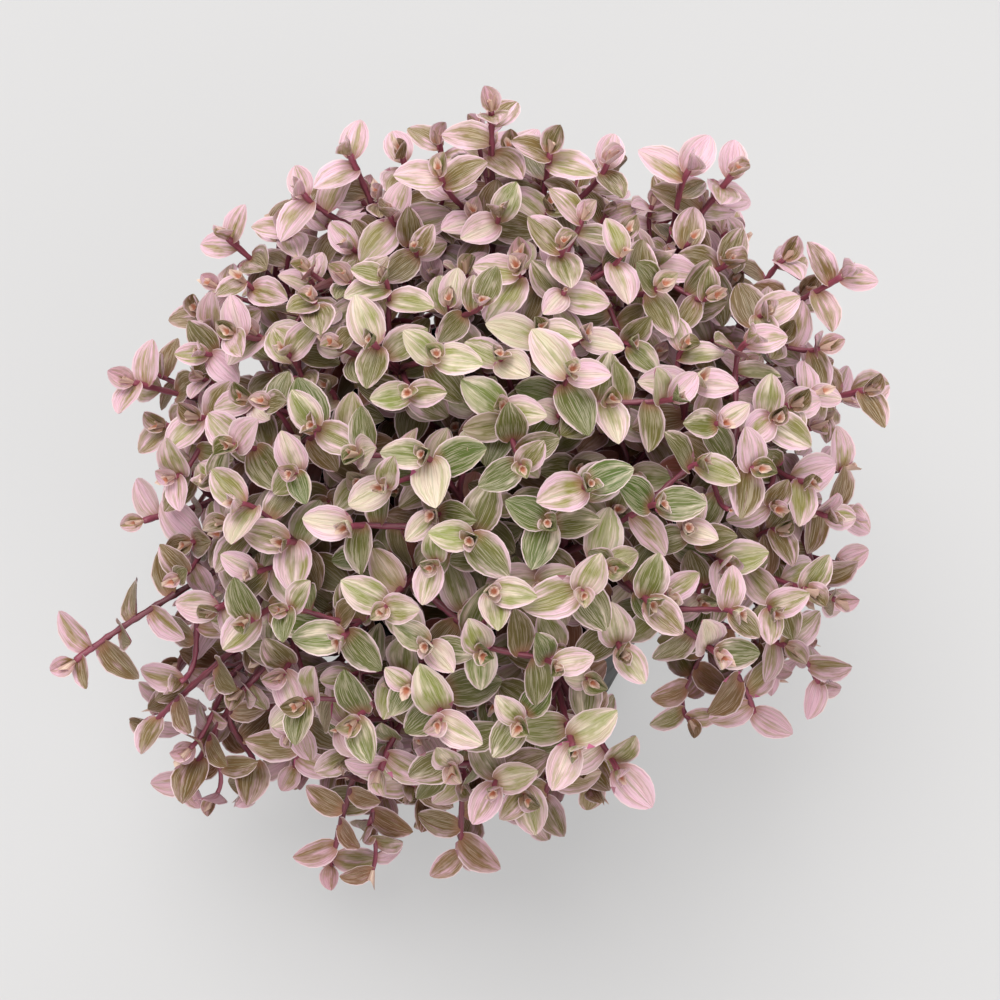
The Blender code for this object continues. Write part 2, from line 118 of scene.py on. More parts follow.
# The solids' headings and stems
FLATTENING = 0.8
LIFT = 1.1
DROOP = 0.9
HANG_START = 86 * MM
HANG_RANGE = 50 * MM
STEM_STEP = 1.5 * MM
STEM_SLACK = 1.2 * MM
STEM_GAP = 2.4 * MM
ROOT_OUT = 35 * MM
ROOT_ROUNDS = 60
ROOT_SPACING = 0.92
ROOT_PUSH = 0.3
SOIL_SOURCE = 55 * MM
STEM_START = 2 * MM
STEM_LEAN = 0.34
STEM_BACK = 0.36
HANG_LEAN = 0.16
HANG_BACK = 0.20
ARCH_START = 100 * MM
ARCH_RANGE = 50 * MM
ARCH_RISE = 26 * MM
BULGE_TRIES = 24
BULGE_MOST = 15 * MM
SIDE_LENGTH = 25 * MM
SIDE_BEND = 0.35
SIDE_SHIFTS = (0, -3, 3, -6, 6, -9, 9, -12, 12)
SIDE_GAP = 0.8 * STEM_GAP
POT_GAP = 1.5 * MM
GROUND_GAP = 3 * MM

# The solids' leaves: the three big ones of a shoot, from its tip back
LEAF_LENGTHS = np.array((9.3, 10.6, 10.9)) * MM
LEAF_SPREADS = np.radians((58, 74, 84))
LEAF_PLACES = np.array((1.8, 4.2, 8.2)) * MM
LEAF_ORDER = (1, 0, 2)
LEAF_TURN = math.radians(139)
LEAF_RATIO = 0.74
LEAF_FOLD = 0.26
LEAF_CURL = 0.34
LEAF_LIGHT = 1.1
LEAF_LIFT = 0.10
HANGING_LIFT = 0.45
LEAFY_SHARE = 0.85
TURN_JITTER = 0.22
SIZE_JITTER = 0.08
LEAF_GAP = 2.0 * MM
SIBLING_GAP = 0.9 * MM
BLADE_THICK = 1.0 * MM
LEAF_TRIES = (
    (0, 1.0), (22, 1.0), (-22, 1.0), (45, 0.95), (-45, 0.95), (0, 0.82), (30, 0.78), (-30, 0.78), (70, 0.8),
)
LEAF_CHECK = np.meshgrid(np.linspace(0.16, 1, 8), np.linspace(-1, 1, 6), indexing="ij")

# Seed of all that only this file has
FILL_SEED = 5

# Small side shoots in shells over the egg: how many points, their push in or out, and their spacing
FILL_SHELLS = (
    (900, (-0.15, 0.03), 8.8 * MM), (480, (-0.38, -0.22), 11 * MM), (300, (-0.6, -0.46), 12 * MM),
)

# Small side shoots round the outer tips that lie nearer than FILL_OUT, and how each small shoot branches
FILL_OUT = 95 * MM
FILL_ROUND_OUTER = 10
FILL_OFFSET = 12 * MM
FILL_PULL = 11 * MM
FILL_ROUND_SPACING = 9 * MM
FILL_LENGTH = 16 * MM
FILL_LENGTHS = (8 * MM, 34 * MM)
FILL_ALONG = 8 * MM
FILL_OUTWARD = 6 * MM
LEAST_ALONG = 0.1
LEAST_OUTWARD = 0.25
FILL_CHOICES = 6
CHOICE_STEP = 3
END_POINTS = 3
FILL_GAP = 1.5 * MM
OWNER_GAP = 0.6 * FILL_GAP
NOTCH_MARGIN = math.radians(3)
FILL_SIZES = (0.78, 1.0)

# Young and older leaves, only here: rank from the tip, length and place in mm, and spread in degrees
MORE_LEAVES = (
    (-1, 5.6, 0.5, 34), (3, 10.9, 12.0, 90), (4, 10.6, 16.0, 93), (5, 10.2, 20.5, 96), (6, 9.9, 25.5, 98),
    (7, 9.6, 31.0, 100), (8, 9.2, 37.0, 102), (9, 9.0, 43.0, 103), (10, 9.0, 49.5, 103), (11, 9.0, 56.0, 103),
    (12, 9.0, 63.0, 103),
)
FINE_GAP = 0.9 * MM
FINE_SIBLING_GAP = 0.5 * MM
BOX_SLACK = 2.5 * MM

# A fine leaf: shares of its length and half width, and how a young one differs
LEAF_ROWS = np.array((0.0, 0.08, 0.2, 0.36, 0.54, 0.71, 0.86, 0.95, 1.0))
LEAF_COLUMNS = np.linspace(-1, 1, 5)
LEAF_START = 0.035
LEAF_POINT = 0.22
CURL_CHANGE = (-0.10, 0.22)
THIN_WIDTH = 1.2 * MM
YOUNG_WIDTH = 1.25
YOUNG_CUP = 3.2
YOUNG_CURL = -0.35

# Leaf colours: the greenest place lies in front of the middle, and low leaves are pinker and get painted
# shade
GREENEST = 32 * MM
LOW_START = 100 * MM
LOW_RANGE = 60 * MM
GREEN_BY_RANK = (-1, 0, 1, 2, 3, 5), (0.50, 0.42, 0.50, 0.70, 0.9, 1.0)
OLD_BY_RANK = (1, 2, 3, 6), (0.0, 0.04, 0.28, 0.85)
PATTERN_STARTS = 90.0
LEAF_GLOW = {"Subsurface_Weight": 0.12, "Subsurface_Radius": (0.9, 0.6, 0.4), "Subsurface_Scale": 1 * MM}

# Material numbers of a spray
TOP, BACK, STEM, BUD = range(4)

# A round stem: radius by its kind, and ways to start its rings from, of which the one least along it is used
STEM_SIDES = 6
STEM_SHARES = {"main": 1.0, "side": 0.86, "fill": 0.72}
STEM_PLACE = 10 * MM
SWELLING_REACH = 0.9 * MM
YOUNG_STRETCH = 14 * MM
FRAME_WAYS = np.array([
    [1, 0, 0], [0, 1, 0], [0, 0, 1], [0.6, 0.8, 0], [0.6, -0.8, 0], [0.6, 0, 0.8], [0.6, 0, -0.8],
])
NEARLY_UP = np.array((0.03, 0.02, 1.0))

# A rolled bud: its profile is distance from its axis and height, as shares of its width and length
BUD_SIDES = 8
BUD_SIZES = (0.8, 1.15)
BUD_REACH = 3.2 * MM
BUD_CHECK = np.array([[0.4], [0.7], [1.0]])
CROWDED_BUD = 0.5
BUD_PROFILE = np.array((
    (0.0, 0.0), (0.5, 0.06), (0.62, 0.4), (0.82, 0.82), (1.0, 1.0), (0.86, 0.98), (0.56, 0.84), (0.3, 0.7),
    (0.0, 0.6),
))

# The fine pot, soil and perlite
SHARP_EDGE = math.radians(60)
POT_SHARP_EDGE = math.radians(40)
WALL_ROWS = 9
BAND_ROUND = 0.4 * MM
DRAIN_SIDES = 24
SOIL_ROWS = 36
SOIL_SIDES = 144
SOIL_SUNK = 0.5 * MM
CRUMB_WAVES = 24
CRUMB_SIZE = 5 * MM
GRAIN_ROWS = 4
GRAIN_SIDES = 6
GRAIN_SUNK = 0.2 * MM
GRAIN_MARGIN = 3 * MM

# The stage: each lamp's name, place, width and power
FLOOR_REACH = 4.0
FLOOR_DROP = 0.2 * MM
WORLD_COLOUR = (1.0, 0.975, 0.945)
WORLD_STRENGTH = 0.40
LAMP_AIM = (0, 0, 0.08)
LAMPS = (
    ("key_light", (-0.4, 0.2, 2.3), 2.0, 47.0),
    ("fill_light", (0.7, -1.9, 1.6), 2.4, 34.0),
    ("back_light", (0.2, 2.4, 1.4), 1.6, 32.0),
)
SENSOR = 36


def tint(red, green, blue):
    """The linear colour of a screen colour of 0 to 255."""
    return tuple(((value / 255 + 0.055) / 1.055) ** 2.4 for value in (red, green, blue))


def colour(label, text, red, green, blue):
    return FloatVectorProperty(
        name=label, description=text, subtype="COLOR", size=3, min=0, max=1, default=tint(red, green, blue)
    )


def length(label, text, value):
    return FloatProperty(name=label, description=text, default=value, min=0, unit="LENGTH", precision=5)


def share(label, text, value):
    return FloatProperty(name=label, description=text, default=value, min=0, max=1, subtype="FACTOR")


def angle(label, text, degrees):
    return FloatProperty(name=label, description=text, default=math.radians(degrees), subtype="ANGLE")


def amount(label, text, value, least, most):
    return IntProperty(name=label, description=text, default=value, min=least, max=most)


class VineLeaves(bpy.types.PropertyGroup):
    thickness: length("Thickness", "Thickness of a leaf at its midrib", 0.45 * MM)
    wave: share("Wave", "How far the leaf's edge waves, as a share of its length", 0.018)
    cream: colour("Cream", "Pale part of a leaf near the crown's middle", 220, 205, 184)
    pink: colour("Pink", "Pale part of a leaf at the crown's edge", 223, 184, 199)
    light_green: colour("Light green", "Stripes of a young leaf", 140, 150, 72)
    deep_green: colour("Deep green", "Stripes of an older leaf", 80, 98, 36)
    # Olive, with mauve, is also painted shade on leaves deep in the crown and where they hang low
    olive: colour("Olive", "Old leaves deep in the crown", 90, 72, 30)
    mauve: colour("Mauve", "Old leaves that turn brown and pink", 138, 66, 62)
    margin: colour("Margin", "The thin edge of a leaf", 234, 206, 208)
    heart: colour("Heart", "The base of a leaf, where it clasps the stem", 150, 104, 80)
    underside: colour("Underside", "The back of a leaf", 158, 96, 112)
    under_pale: colour("Pale underside", "Stripes on the back of a leaf", 198, 158, 172)
    blush: colour("Blush", "The back of a few bright leaves", 192, 74, 128)
    roughness: share("Roughness", "Roughness of a leaf", 0.46)


class VineStems(bpy.types.PropertyGroup):
    radius: length("Radius", "Radius of a main stem at the soil", 0.85 * MM)
    taper: share("Taper", "Radius at the tip as a share of that at the start", 0.66)
    swelling: share("Swelling", "How much a stem swells where a leaf leaves it", 0.38)
    bud_length: length("Bud length", "Length of a rolled bud", 2.6 * MM)
    bud_radius: length("Bud radius", "Radius of a rolled bud at its mouth", 1.0 * MM)
    dark: colour("Dark", "Main colour of a stem", 84, 42, 46)
    bright: colour("Bright", "Streaks and young stretches of a stem", 140, 66, 84)
    bud: colour("Bud", "Outside and lip of a bud", 218, 192, 172)
    bud_inside: colour("Bud inside", "Throat of a bud", 178, 114, 86)


class VinePot(bpy.types.PropertyGroup):
    sides: amount("Sides", "Facets round the pot", 96, 24, 256)
    plastic: colour("Plastic", "Colour of the pot", 24, 23, 23)
    dust: colour("Dust", "Dry soil and lime that cling to the pot", 74, 66, 58)
    roughness: share("Roughness", "Roughness of the plastic", 0.42)


class VineSoil(bpy.types.PropertyGroup):
    relief: length("Relief", "Height of the crumbs on the soil", 1.3 * MM)
    perlite_count: amount("Perlite", "White grains on the soil", 150, 0, 600)
    perlite_radius: length("Perlite size", "Radius of the biggest grains", 1.5 * MM)
    peat: colour("Peat", "Main colour of the soil", 44, 30, 22)
    bark: colour("Bark", "Paler bits in the soil", 92, 62, 42)
    perlite: colour("Perlite", "Colour of the white grains", 226, 222, 212)


class VineStage(bpy.types.PropertyGroup):
    distance: length("Distance", "From the camera to the middle of the crown", 0.406)
    aim_height: length("Aim height", "Height of the middle of the crown", 97 * MM)
    elevation: angle("Elevation", "Angle that the camera looks down by", 58)
    tilt: angle("Tilt", "Further turn of the view downwards", 1.84)
    view_width: angle("View width", "Angle that the picture is wide", 30)
    floor: colour("Floor", "Colour of the floor", 138, 137, 137)
    floor_glow: share("Floor glow", "Light that the floor gives off, as a light table does", 0.388)


def unit(vector):
    return vector / np.linalg.norm(vector)


def units(vectors):
    """Each row at length 1."""
    return vectors / np.linalg.norm(vectors, axis=-1, keepdims=True)


def at(bearing, out, up):
    """Points by their bearing from +X, distance out and height."""
    return np.stack([out * np.cos(bearing), out * np.sin(bearing), up], axis=-1)


def bearings(count):
    """Bearings evenly round a circle."""
    return 2 * math.pi * np.arange(count) / count


def outer_tips():
    shoots = np.array([shoot for spray in OUTER_SPRAYS for shoot in spray], float)
    return at(np.radians(shoots[:, 0]), shoots[:, 1] * MM, shoots[:, 2] * MM)


def egg_tips(rng, count, spread, margin=0.0):
    """Points on the egg by the golden angle, pushed in or out by the spread, and which are in the notch."""
    order = np.arange(count)
    polar = np.arccos(1 - (order + 0.5) / count * (1 - math.cos(CROWN_LOWEST)))
    bearing = order * GOLDEN_ANGLE + rng.uniform(-CROWN_SWAY, CROWN_SWAY, count)
    bearing = (bearing + math.pi) % (2 * math.pi) - math.pi
    swell = 1 + rng.uniform(*spread, count)
    rise = np.where(polar < math.pi / 2, CROWN_RISE, CROWN_DROP)
    tips = at(bearing, CROWN_OUT * swell * np.sin(polar), CROWN_MIDDLE + rise * swell * np.cos(polar))
    in_notch = (bearing > NOTCH[0] - margin) & (bearing < NOTCH[1] + margin) & (polar > NOTCH_TOP - margin)
    return tips, in_notch


def crown_tips(rng, taken):
    """Shoot tips on the egg that aren't near an outer one."""
    tips, in_notch = egg_tips(rng, CROWN_TIPS, CROWN_SWELL)
    apart = np.linalg.norm(tips[:, None] - taken[None], axis=2).min(axis=1)
    return tips[(apart > TIP_SPACING) & ~in_notch]


def heading(tip):
    """The way a shoot points at its tip: out of the crown and to the light, less so where it hangs."""
    away = unit(np.array([tip[0], tip[1], FLATTENING * (tip[2] - CROWN_MIDDLE)]))
    low = min(max((HANG_START - tip[2]) / HANG_RANGE, 0), 1)
    return unit(away + (LIFT - DROOP * low) * LIGHT)


def spray_groups(tips):
    """The outer sprays as they are listed, then neighbouring crown tips in threes."""
    groups = []
    for spray in OUTER_SPRAYS:
        first = sum(len(group) for group in groups)
        groups.append(list(range(first, first + len(spray))))
    left = list(range(groups[-1][-1] + 1, len(tips)))
    while left:
        apart = np.linalg.norm(tips[left] - tips[left[0]], axis=1)
        nearest = np.argsort(apart, kind="stable")[:TIPS_PER_SPRAY]
        group = [left[index] for index in nearest if apart[index] < SPRAY_REACH]
        groups.append(group)
        left = [index for index in left if index not in group]
    return groups


def root_spots(tips, groups):
    """Where each spray leaves the soil: on its tips' side, further out for low tips, and pushed apart."""
    middles = np.array([tips[group].mean(axis=0) for group in groups])
    polar = np.arctan2(np.hypot(middles[:, 0], middles[:, 1]), middles[:, 2] - SOIL_SOURCE)
    rank = np.argsort(np.argsort(polar))
    bearing = np.arctan2(middles[:, 1], middles[:, 0])
    spots = at(bearing, ROOT_OUT * np.sqrt((rank + 0.5) / len(groups)), 0 * bearing)[:, :2]
    wanted = ROOT_SPACING * ROOT_OUT * math.sqrt(math.pi / len(groups))
    for _ in range(ROOT_ROUNDS):
        apart = spots[:, None] - spots[None]
        far = np.linalg.norm(apart, axis=2) + np.eye(len(spots))
        push = np.clip(wanted - far, 0, None) * (1 - np.eye(len(spots)))
        spots = spots + ROOT_PUSH * (apart / far[..., None] * push[..., None]).sum(axis=1)
        spots = spots * np.minimum(1, ROOT_OUT / np.linalg.norm(spots, axis=1, keepdims=True))
    return spots


def bezier(start, lean, back, end):
    """A cubic curve from start to end, as points about a stem step apart."""
    size = np.linalg.norm(lean - start) + np.linalg.norm(back - lean) + np.linalg.norm(end - back)
    t = np.linspace(0, 1, max(8, int(size / STEM_STEP)))[:, None]
    ends = start * (1 - t) ** 3 + end * t ** 3
    return ends + 3 * t * (1 - t) * (lean * (1 - t) + back * t)


def main_path(root, tip, bulge):
    """A main stem: up out of the soil, high over the rim where its tip hangs, and out along its heading."""
    start = np.array([root[0], root[1], SOIL_TOP + STEM_START])
    span = np.linalg.norm(tip - start)
    low = min(max((ARCH_START - tip[2]) / ARCH_RANGE, 0), 1)
    lean = start + np.array([0, 0, (STEM_LEAN + HANG_LEAN * low) * span]) + bulge
    back = tip - heading(tip) * span * (STEM_BACK - HANG_BACK * low)
    return bezier(start, lean, back + np.array([0, 0, ARCH_RISE * low]) + bulge, tip)


def side_path(parent, shift, tip):
    """A side shoot, which leaves its parent where that gives it its usual length, or a shift from there."""
    inner = len(parent) // 4
    lengths = np.linalg.norm(parent[inner:-4] - tip, axis=1)
    place = inner + int(np.abs(lengths - SIDE_LENGTH).argmin()) + shift
    place = min(max(place, 2), len(parent) - 3)
    return leaving_path(parent, place, tip)


def leaving_path(parent, place, tip):
    """A curve that leaves a stem at one of its points, half along it, and ends at a tip along its heading."""
    start = parent[place]
    along = unit(parent[place + 1] - parent[place - 1])
    bend = SIDE_BEND * np.linalg.norm(tip - start)
    lean = start + unit(along + unit(tip - start)) * bend
    return bezier(start, lean, tip - heading(tip) * bend, tip)


def thinned(path, slack):
    """A path's ends, and the points where it strays furthest, so that it stays within the slack of them."""
    chord = path[-1] - path[0]
    strays = np.linalg.norm(np.cross(path - path[0], chord), axis=1) / np.linalg.norm(chord)
    far = int(strays.argmax())
    if strays[far] < slack:
        return path[[0, -1]]
    return np.concatenate([thinned(path[:far + 1], slack)[:-1], thinned(path[far:], slack)])


def nearest_on(bones, point):
    """The point of a line through the bones that lies nearest to another point."""
    starts = bones[:-1]
    spans = bones[1:] - starts
    shares = ((point - starts) * spans).sum(axis=1) / (spans ** 2).sum(axis=1)
    places = starts + np.clip(shares, 0, 1)[:, None] * spans
    return places[np.linalg.norm(places - point, axis=1).argmin()]


def walked(bones):
    """Points along the straight runs between the bones, about a stem step apart."""
    runs = []
    for start, end in zip(bones[:-1], bones[1:]):
        count = max(1, round(np.linalg.norm(end - start) / STEM_STEP))
        runs.append(start + (end - start) * np.arange(count)[:, None] / count)
    return np.concatenate(runs + [bones[-1:]])


def off_the_pot(points):
    """True where no point comes near the pot, the soil or the ground."""
    out = np.hypot(points[:, 0], points[:, 1])
    beside = out > RIM_RADIUS + POT_GAP
    inside = (out < RIM_RADIUS - POT_WALL - POT_GAP) & (points[:, 2] > SOIL_TOP + POT_GAP)
    above = points[:, 2] > POT_HEIGHT + POT_GAP
    return bool((beside | inside | above).all() and (points[:, 2] > GROUND_GAP).all())


class Grown:
    """Points of all that is grown so far, each with the shoot that it is on, in arrays with room to spare."""

    ROOM = 4096

    def __init__(self):
        self.count = 0
        self.points = np.zeros((self.ROOM, 3))
        self.shoots = np.zeros(self.ROOM, int)

    def add(self, points, shoot):
        end = self.count + len(points)
        if end > len(self.points):
            self.points = np.concatenate([self.points, np.zeros_like(self.points)])
            self.shoots = np.concatenate([self.shoots, np.zeros_like(self.shoots)])
        self.points[self.count:end] = points
        self.shoots[self.count:end] = shoot
        self.count = end

    def clear(self, points, gap, own=-1, own_gap=0.0):
        """True where points keep the gap to all else, and own_gap to their own shoot."""
        there = self.points[:self.count]
        near = ((there > points.min(axis=0) - gap) & (there < points.max(axis=0) + gap)).all(axis=1)
        if not near.any():
            return True
        apart = np.linalg.norm(points[:, None] - there[near][None], axis=2).min(axis=0)
        wanted = np.where(self.shoots[:self.count][near] == own, own_gap, gap)
        return bool((apart > wanted).all())


def grow_main(spray, tip, index, spot, bulges, grown):
    """The main shoot of a spray, bulged to one side where it is in the way, or None."""
    for bulge in bulges:
        path = main_path(spot, tip, bulge)
        bones = thinned(path, STEM_SLACK)
        course = walked(bones)
        if off_the_pot(course[2:]) and grown.clear(course[2:], STEM_GAP):
            grown.add(course, index)
            return {"spray": spray, "path": path, "bones": bones, "kind": "main"}
    return None


def grow_side(main, tip, index, first, grown):
    """A side shoot of a spray, moved along its main stem where it is in the way, or None."""
    for shift in SIDE_SHIFTS:
        path = side_path(main["path"], shift, tip)
        bones = thinned(path, STEM_SLACK)
        bones[0] = nearest_on(main["bones"], bones[0])
        course = walked(bones)
        if off_the_pot(course) and grown.clear(course[3:], STEM_GAP, first, SIDE_GAP):
            grown.add(course[3:], index)
            return {"spray": main["spray"], "path": path, "bones": bones, "kind": "side"}
    return None


def grow_stems(rng):
    """The solids' shoots, spray by spray, and the points of all of them."""
    outer = outer_tips()
    tips = np.concatenate([outer, crown_tips(rng, outer)])
    groups = spray_groups(tips)
    spots = root_spots(tips, groups)
    bulges = rng.uniform((-1, -1, -0.3), 1, (len(groups), BULGE_TRIES, 3))
    bulges = bulges * np.linspace(0, BULGE_MOST, BULGE_TRIES)[:, None]
    grown = Grown()
    shoots = []
    for spray, group in enumerate(groups):
        foot = np.array([*spots[spray], SOIL_TOP])
        group = sorted(group, key=lambda tip: -np.linalg.norm(tips[tip] - foot))
        first = len(shoots)
        main = grow_main(spray, tips[group[0]], first, spots[spray], bulges[spray], grown)
        if main is None:
            continue
        shoots.append(main)
        sides = [
            grow_side(main, tips[tip], first + rank, first, grown)
            for rank, tip in enumerate(group[1:], start=1)
        ]
        shoots += [side for side in sides if side is not None]
    return shoots, grown


def leaf_width(u):
    """Half width of a leaf along its length: broad at the base and pointed at the tip, 1 at its widest."""
    return u ** 0.55 * (1 - u) ** 0.6 / 0.4512


def leaf_points(leaf, u, v, drop=0.0):
    """Points of a leaf at u along it and v across it: a curled midrib with both halves folded up from it."""
    size = leaf["length"]
    half = 0.5 * LEAF_RATIO * size * leaf_width(u)
    rise = LEAF_FOLD * half * np.abs(v) ** 1.4 - LEAF_CURL * size * u * u / 2 - drop
    along = (size * u)[..., None] * leaf["way"]
    return leaf["base"] + along + (half * v)[..., None] * leaf["side"] + rise[..., None] * leaf["up"]


def set_leaf(shoot, place, spread, turn, size):
    """A leaf some way back from a shoot's tip, turned round the stem and tipped up to the light, or None."""
    path = shoot["path"]
    lengths = np.cumsum(np.linalg.norm(np.diff(path[::-1], axis=0), axis=1))
    if place > LEAFY_SHARE * lengths[-1]:
        return None
    point = len(path) - 1 - int(np.searchsorted(lengths, place))
    axis = unit(path[point] - path[point - 1])
    flat = unit(np.cross(axis, NEARLY_UP))
    radial = flat * math.cos(turn) + np.cross(axis, flat) * math.sin(turn)
    way = axis * math.cos(spread) + radial * math.sin(spread)
    way = unit(way + np.array([0, 0, HANGING_LIFT * max(0, -way[2]) + LEAF_LIFT]))
    up = axis * math.sin(spread) - radial * math.cos(spread) + (LEAF_LIGHT + max(0, -axis[2])) * LIGHT
    up = unit(up - way * np.dot(up, way))
    return {"base": path[point], "way": way, "up": up, "side": np.cross(way, up), "length": size}


def fit_leaf(shoot, index, rank, place, spread, turn, size, gaps, grown, box=None):
    """The first of a leaf's tries that clears all that is grown and stays in the box, or None."""
    for shift, scale in LEAF_TRIES:
        leaf = set_leaf(shoot, place, spread, turn + math.radians(shift), size * scale)
        if leaf is None:
            return None
        points = leaf_points(leaf, *LEAF_CHECK, gaps[2]).reshape(-1, 3)
        if box is not None and not ((points > box[0]) & (points < box[1])).all():
            continue
        if off_the_pot(points) and grown.clear(points, gaps[0], index, gaps[1]):
            leaf.update(shoot=index, rank=rank)
            grown.add(points, index)
            return leaf
    return None


def grow_leaves(shoots, grown, rng):
    """The solids' leaves, rank by rank, and each shoot's turn."""
    turns = rng.uniform(0, 2 * math.pi, len(shoots))
    jitter = rng.normal(0, 1, (len(shoots), len(LEAF_LENGTHS), 2))
    gaps = (LEAF_GAP, SIBLING_GAP, BLADE_THICK / 2)
    leaves = []
    for rank in LEAF_ORDER:
        for index, shoot in enumerate(shoots):
            turn = turns[index] + rank * LEAF_TURN + TURN_JITTER * jitter[index, rank, 0]
            size = LEAF_LENGTHS[rank] * (1 + SIZE_JITTER * jitter[index, rank, 1])
            leaves.append(fit_leaf(
                shoot, index, rank, LEAF_PLACES[rank], LEAF_SPREADS[rank], turn, size, gaps, grown
            ))
    return [leaf for leaf in leaves if leaf is not None], turns


def fill_tips(rng, taken):
    """Tips for small shoots, round the outer tips and in shells over the egg, where no other tip is near."""
    outer = outer_tips()
    outer = outer[np.hypot(outer[:, 0], outer[:, 1]) < FILL_OUT]
    around = units(rng.normal(0, 1, (len(outer), FILL_ROUND_OUTER, 3))) * FILL_OFFSET
    around[..., 2] = -np.abs(around[..., 2])
    inward = units(np.array([0, 0, CROWN_MIDDLE]) - outer) * FILL_PULL
    around = ((outer + inward)[:, None] + around).reshape(-1, 3)
    layers = [(around, FILL_ROUND_SPACING)]
    for count, spread, spacing in FILL_SHELLS:
        egg, in_notch = egg_tips(rng, count, spread, NOTCH_MARGIN)
        layers.append((egg[~in_notch], spacing))
    chosen = list(taken)
    for tips, spacing in layers:
        for tip in tips:
            if np.linalg.norm(np.array(chosen) - tip, axis=1).min() > spacing:
                chosen.append(tip)
    return np.array(chosen[len(taken):])


def grow_fills(shoots, box, grown, rng):
    """Small shoots, which branch to the fill tips from the best points of the stems that leave them clear."""
    tips = fill_tips(rng, np.array([shoot["path"][-1] for shoot in shoots]))
    tips = tips[((tips > box[0] + BOX_SLACK) & (tips < box[1] - BOX_SLACK)).all(axis=1)]
    paths = [shoot["path"] for shoot in shoots]
    places = [np.arange(END_POINTS, len(path) - END_POINTS) for path in paths]
    points = np.concatenate([path[place] for path, place in zip(paths, places)])
    ways = np.concatenate([units(path[place + 1] - path[place - 1]) for path, place in zip(paths, places)])
    owners = np.repeat(np.arange(len(shoots)), [len(place) for place in places])
    places = np.concatenate(places)
    fills = []
    for tip in tips:
        spans = tip - points
        far = np.linalg.norm(spans, axis=1)
        along = (spans * ways).sum(axis=1) / far
        outward = spans @ heading(tip) / far
        fits = (far > FILL_LENGTHS[0]) & (far < FILL_LENGTHS[1])
        fits = fits & (along > LEAST_ALONG) & (outward > LEAST_OUTWARD)
        cost = np.abs(far - FILL_LENGTH) - FILL_ALONG * along - FILL_OUTWARD * outward + np.where(fits, 0, 1)
        for choice in np.argsort(cost, kind="stable")[:FILL_CHOICES * CHOICE_STEP:CHOICE_STEP]:
            if not fits[choice]:
                break
            owner = int(owners[choice])
            path = leaving_path(paths[owner], int(places[choice]), tip)
            index = len(shoots) + len(fills)
            if off_the_pot(path) and grown.clear(path[3:], FILL_GAP, owner, OWNER_GAP):
                grown.add(path[2:], index)
                fills.append({"spray": shoots[owner]["spray"], "path": path, "kind": "fill"})
                break
    return fills


def grow_more_leaves(shoots, solid_count, turns, box, grown, rng):
    """Big leaves for the small shoots, and young and older leaves for all of them, where there is room."""
    sizes = np.ones(len(shoots))
    sizes[solid_count:] = rng.uniform(*FILL_SIZES, len(shoots) - solid_count)
    turns = np.concatenate([turns, rng.uniform(0, 2 * math.pi, len(shoots) - solid_count)])
    big = [(rank, LEAF_LENGTHS[rank], LEAF_PLACES[rank], LEAF_SPREADS[rank]) for rank in LEAF_ORDER]
    more = [
        (rank, size * MM, place * MM, math.radians(spread)) for rank, size, place, spread in MORE_LEAVES
    ]
    gaps = (FINE_GAP, FINE_SIBLING_GAP, 0)
    leaves = []
    for rank, size, place, spread in big + more:
        first = solid_count if 0 <= rank < len(big) else 0
        for index in range(first, len(shoots)):
            turn = turns[index] + rank * LEAF_TURN + TURN_JITTER * rng.normal()
            own_size = size * sizes[index] * (1 + SIZE_JITTER * rng.normal())
            leaf = fit_leaf(
                shoots[index], index, rank, place * sizes[index], spread, turn, own_size, gaps, grown, box
            )
            if leaf is not None:
                leaves.append(leaf)
    return leaves


def grow_plant():
    """All shoots and leaves, first as in the solids, and then the others. A bud with no room is small."""
    rng = np.random.default_rng(SEED)
    shoots, grown = grow_stems(rng)
    leaves, turns = grow_leaves(shoots, grown, rng)
    solid_count = len(shoots)
    there = grown.points[:grown.count]
    box = there.min(axis=0) - BOX_SLACK, there.max(axis=0) + BOX_SLACK
    rng = np.random.default_rng(FILL_SEED)
    shoots = shoots + grow_fills(shoots, box, grown, rng)
    leaves += grow_more_leaves(shoots, solid_count, turns, box, grown, rng)
    for index, shoot in enumerate(shoots):
        end = shoot["path"][-1]
        reach = BUD_REACH * unit(end - shoot["path"][-3])
        room = grown.clear(end + reach * BUD_CHECK, FINE_GAP, index)
        shoot["bud"] = 1.0 if room else CROWDED_BUD
    return shoots, leaves


def grid_faces(rows, columns, closed=False):
    """Quads of a grid of points, row by row, closed across the columns where asked."""
    across = columns if closed else columns - 1
    row, column = np.meshgrid(np.arange(rows - 1), np.arange(across), indexing="ij")
    after = (column + 1) % columns
    start = row * columns
    corners = [start + column, start + after, start + columns + after, start + columns + column]
    return np.stack(corners, axis=-1).reshape(-1, 4)


def fan_faces(ring, pole, outward):
    """Triangles from a ring of points to a pole."""
    after = np.roll(ring, -1)
    poles = np.full(len(ring), pole)
    return np.stack([ring, after, poles] if outward else [after, ring, poles], axis=-1)


def capped_faces(rows, sides, number, downward=False):
    """Faces of rings one above the other, or below, and two poles that come last, with their material."""
    ring = np.arange(sides)
    quads = grid_faces(rows, sides, closed=True)
    return [
        (quads[:, ::-1] if downward else quads, number),
        (fan_faces(ring, rows * sides, downward), number),
        (fan_faces(ring + (rows - 1) * sides, rows * sides + 1, not downward), number),
    ]


def repeated(faces, count, step):
    """Faces of one shape for each of many, a step of points apart, with one material or one for each."""
    starts = (np.arange(count) * step)[:, None, None]
    return [
        ((part + starts).reshape(-1, part.shape[1]), np.repeat(np.broadcast_to(number, count), len(part)))
        for part, number in faces
    ]


def circle(sides, across, other):
    """Ways round a circle that holds two ways square to each other."""
    bearing = bearings(sides)[:, None]
    return np.cos(bearing) * across + np.sin(bearing) * other


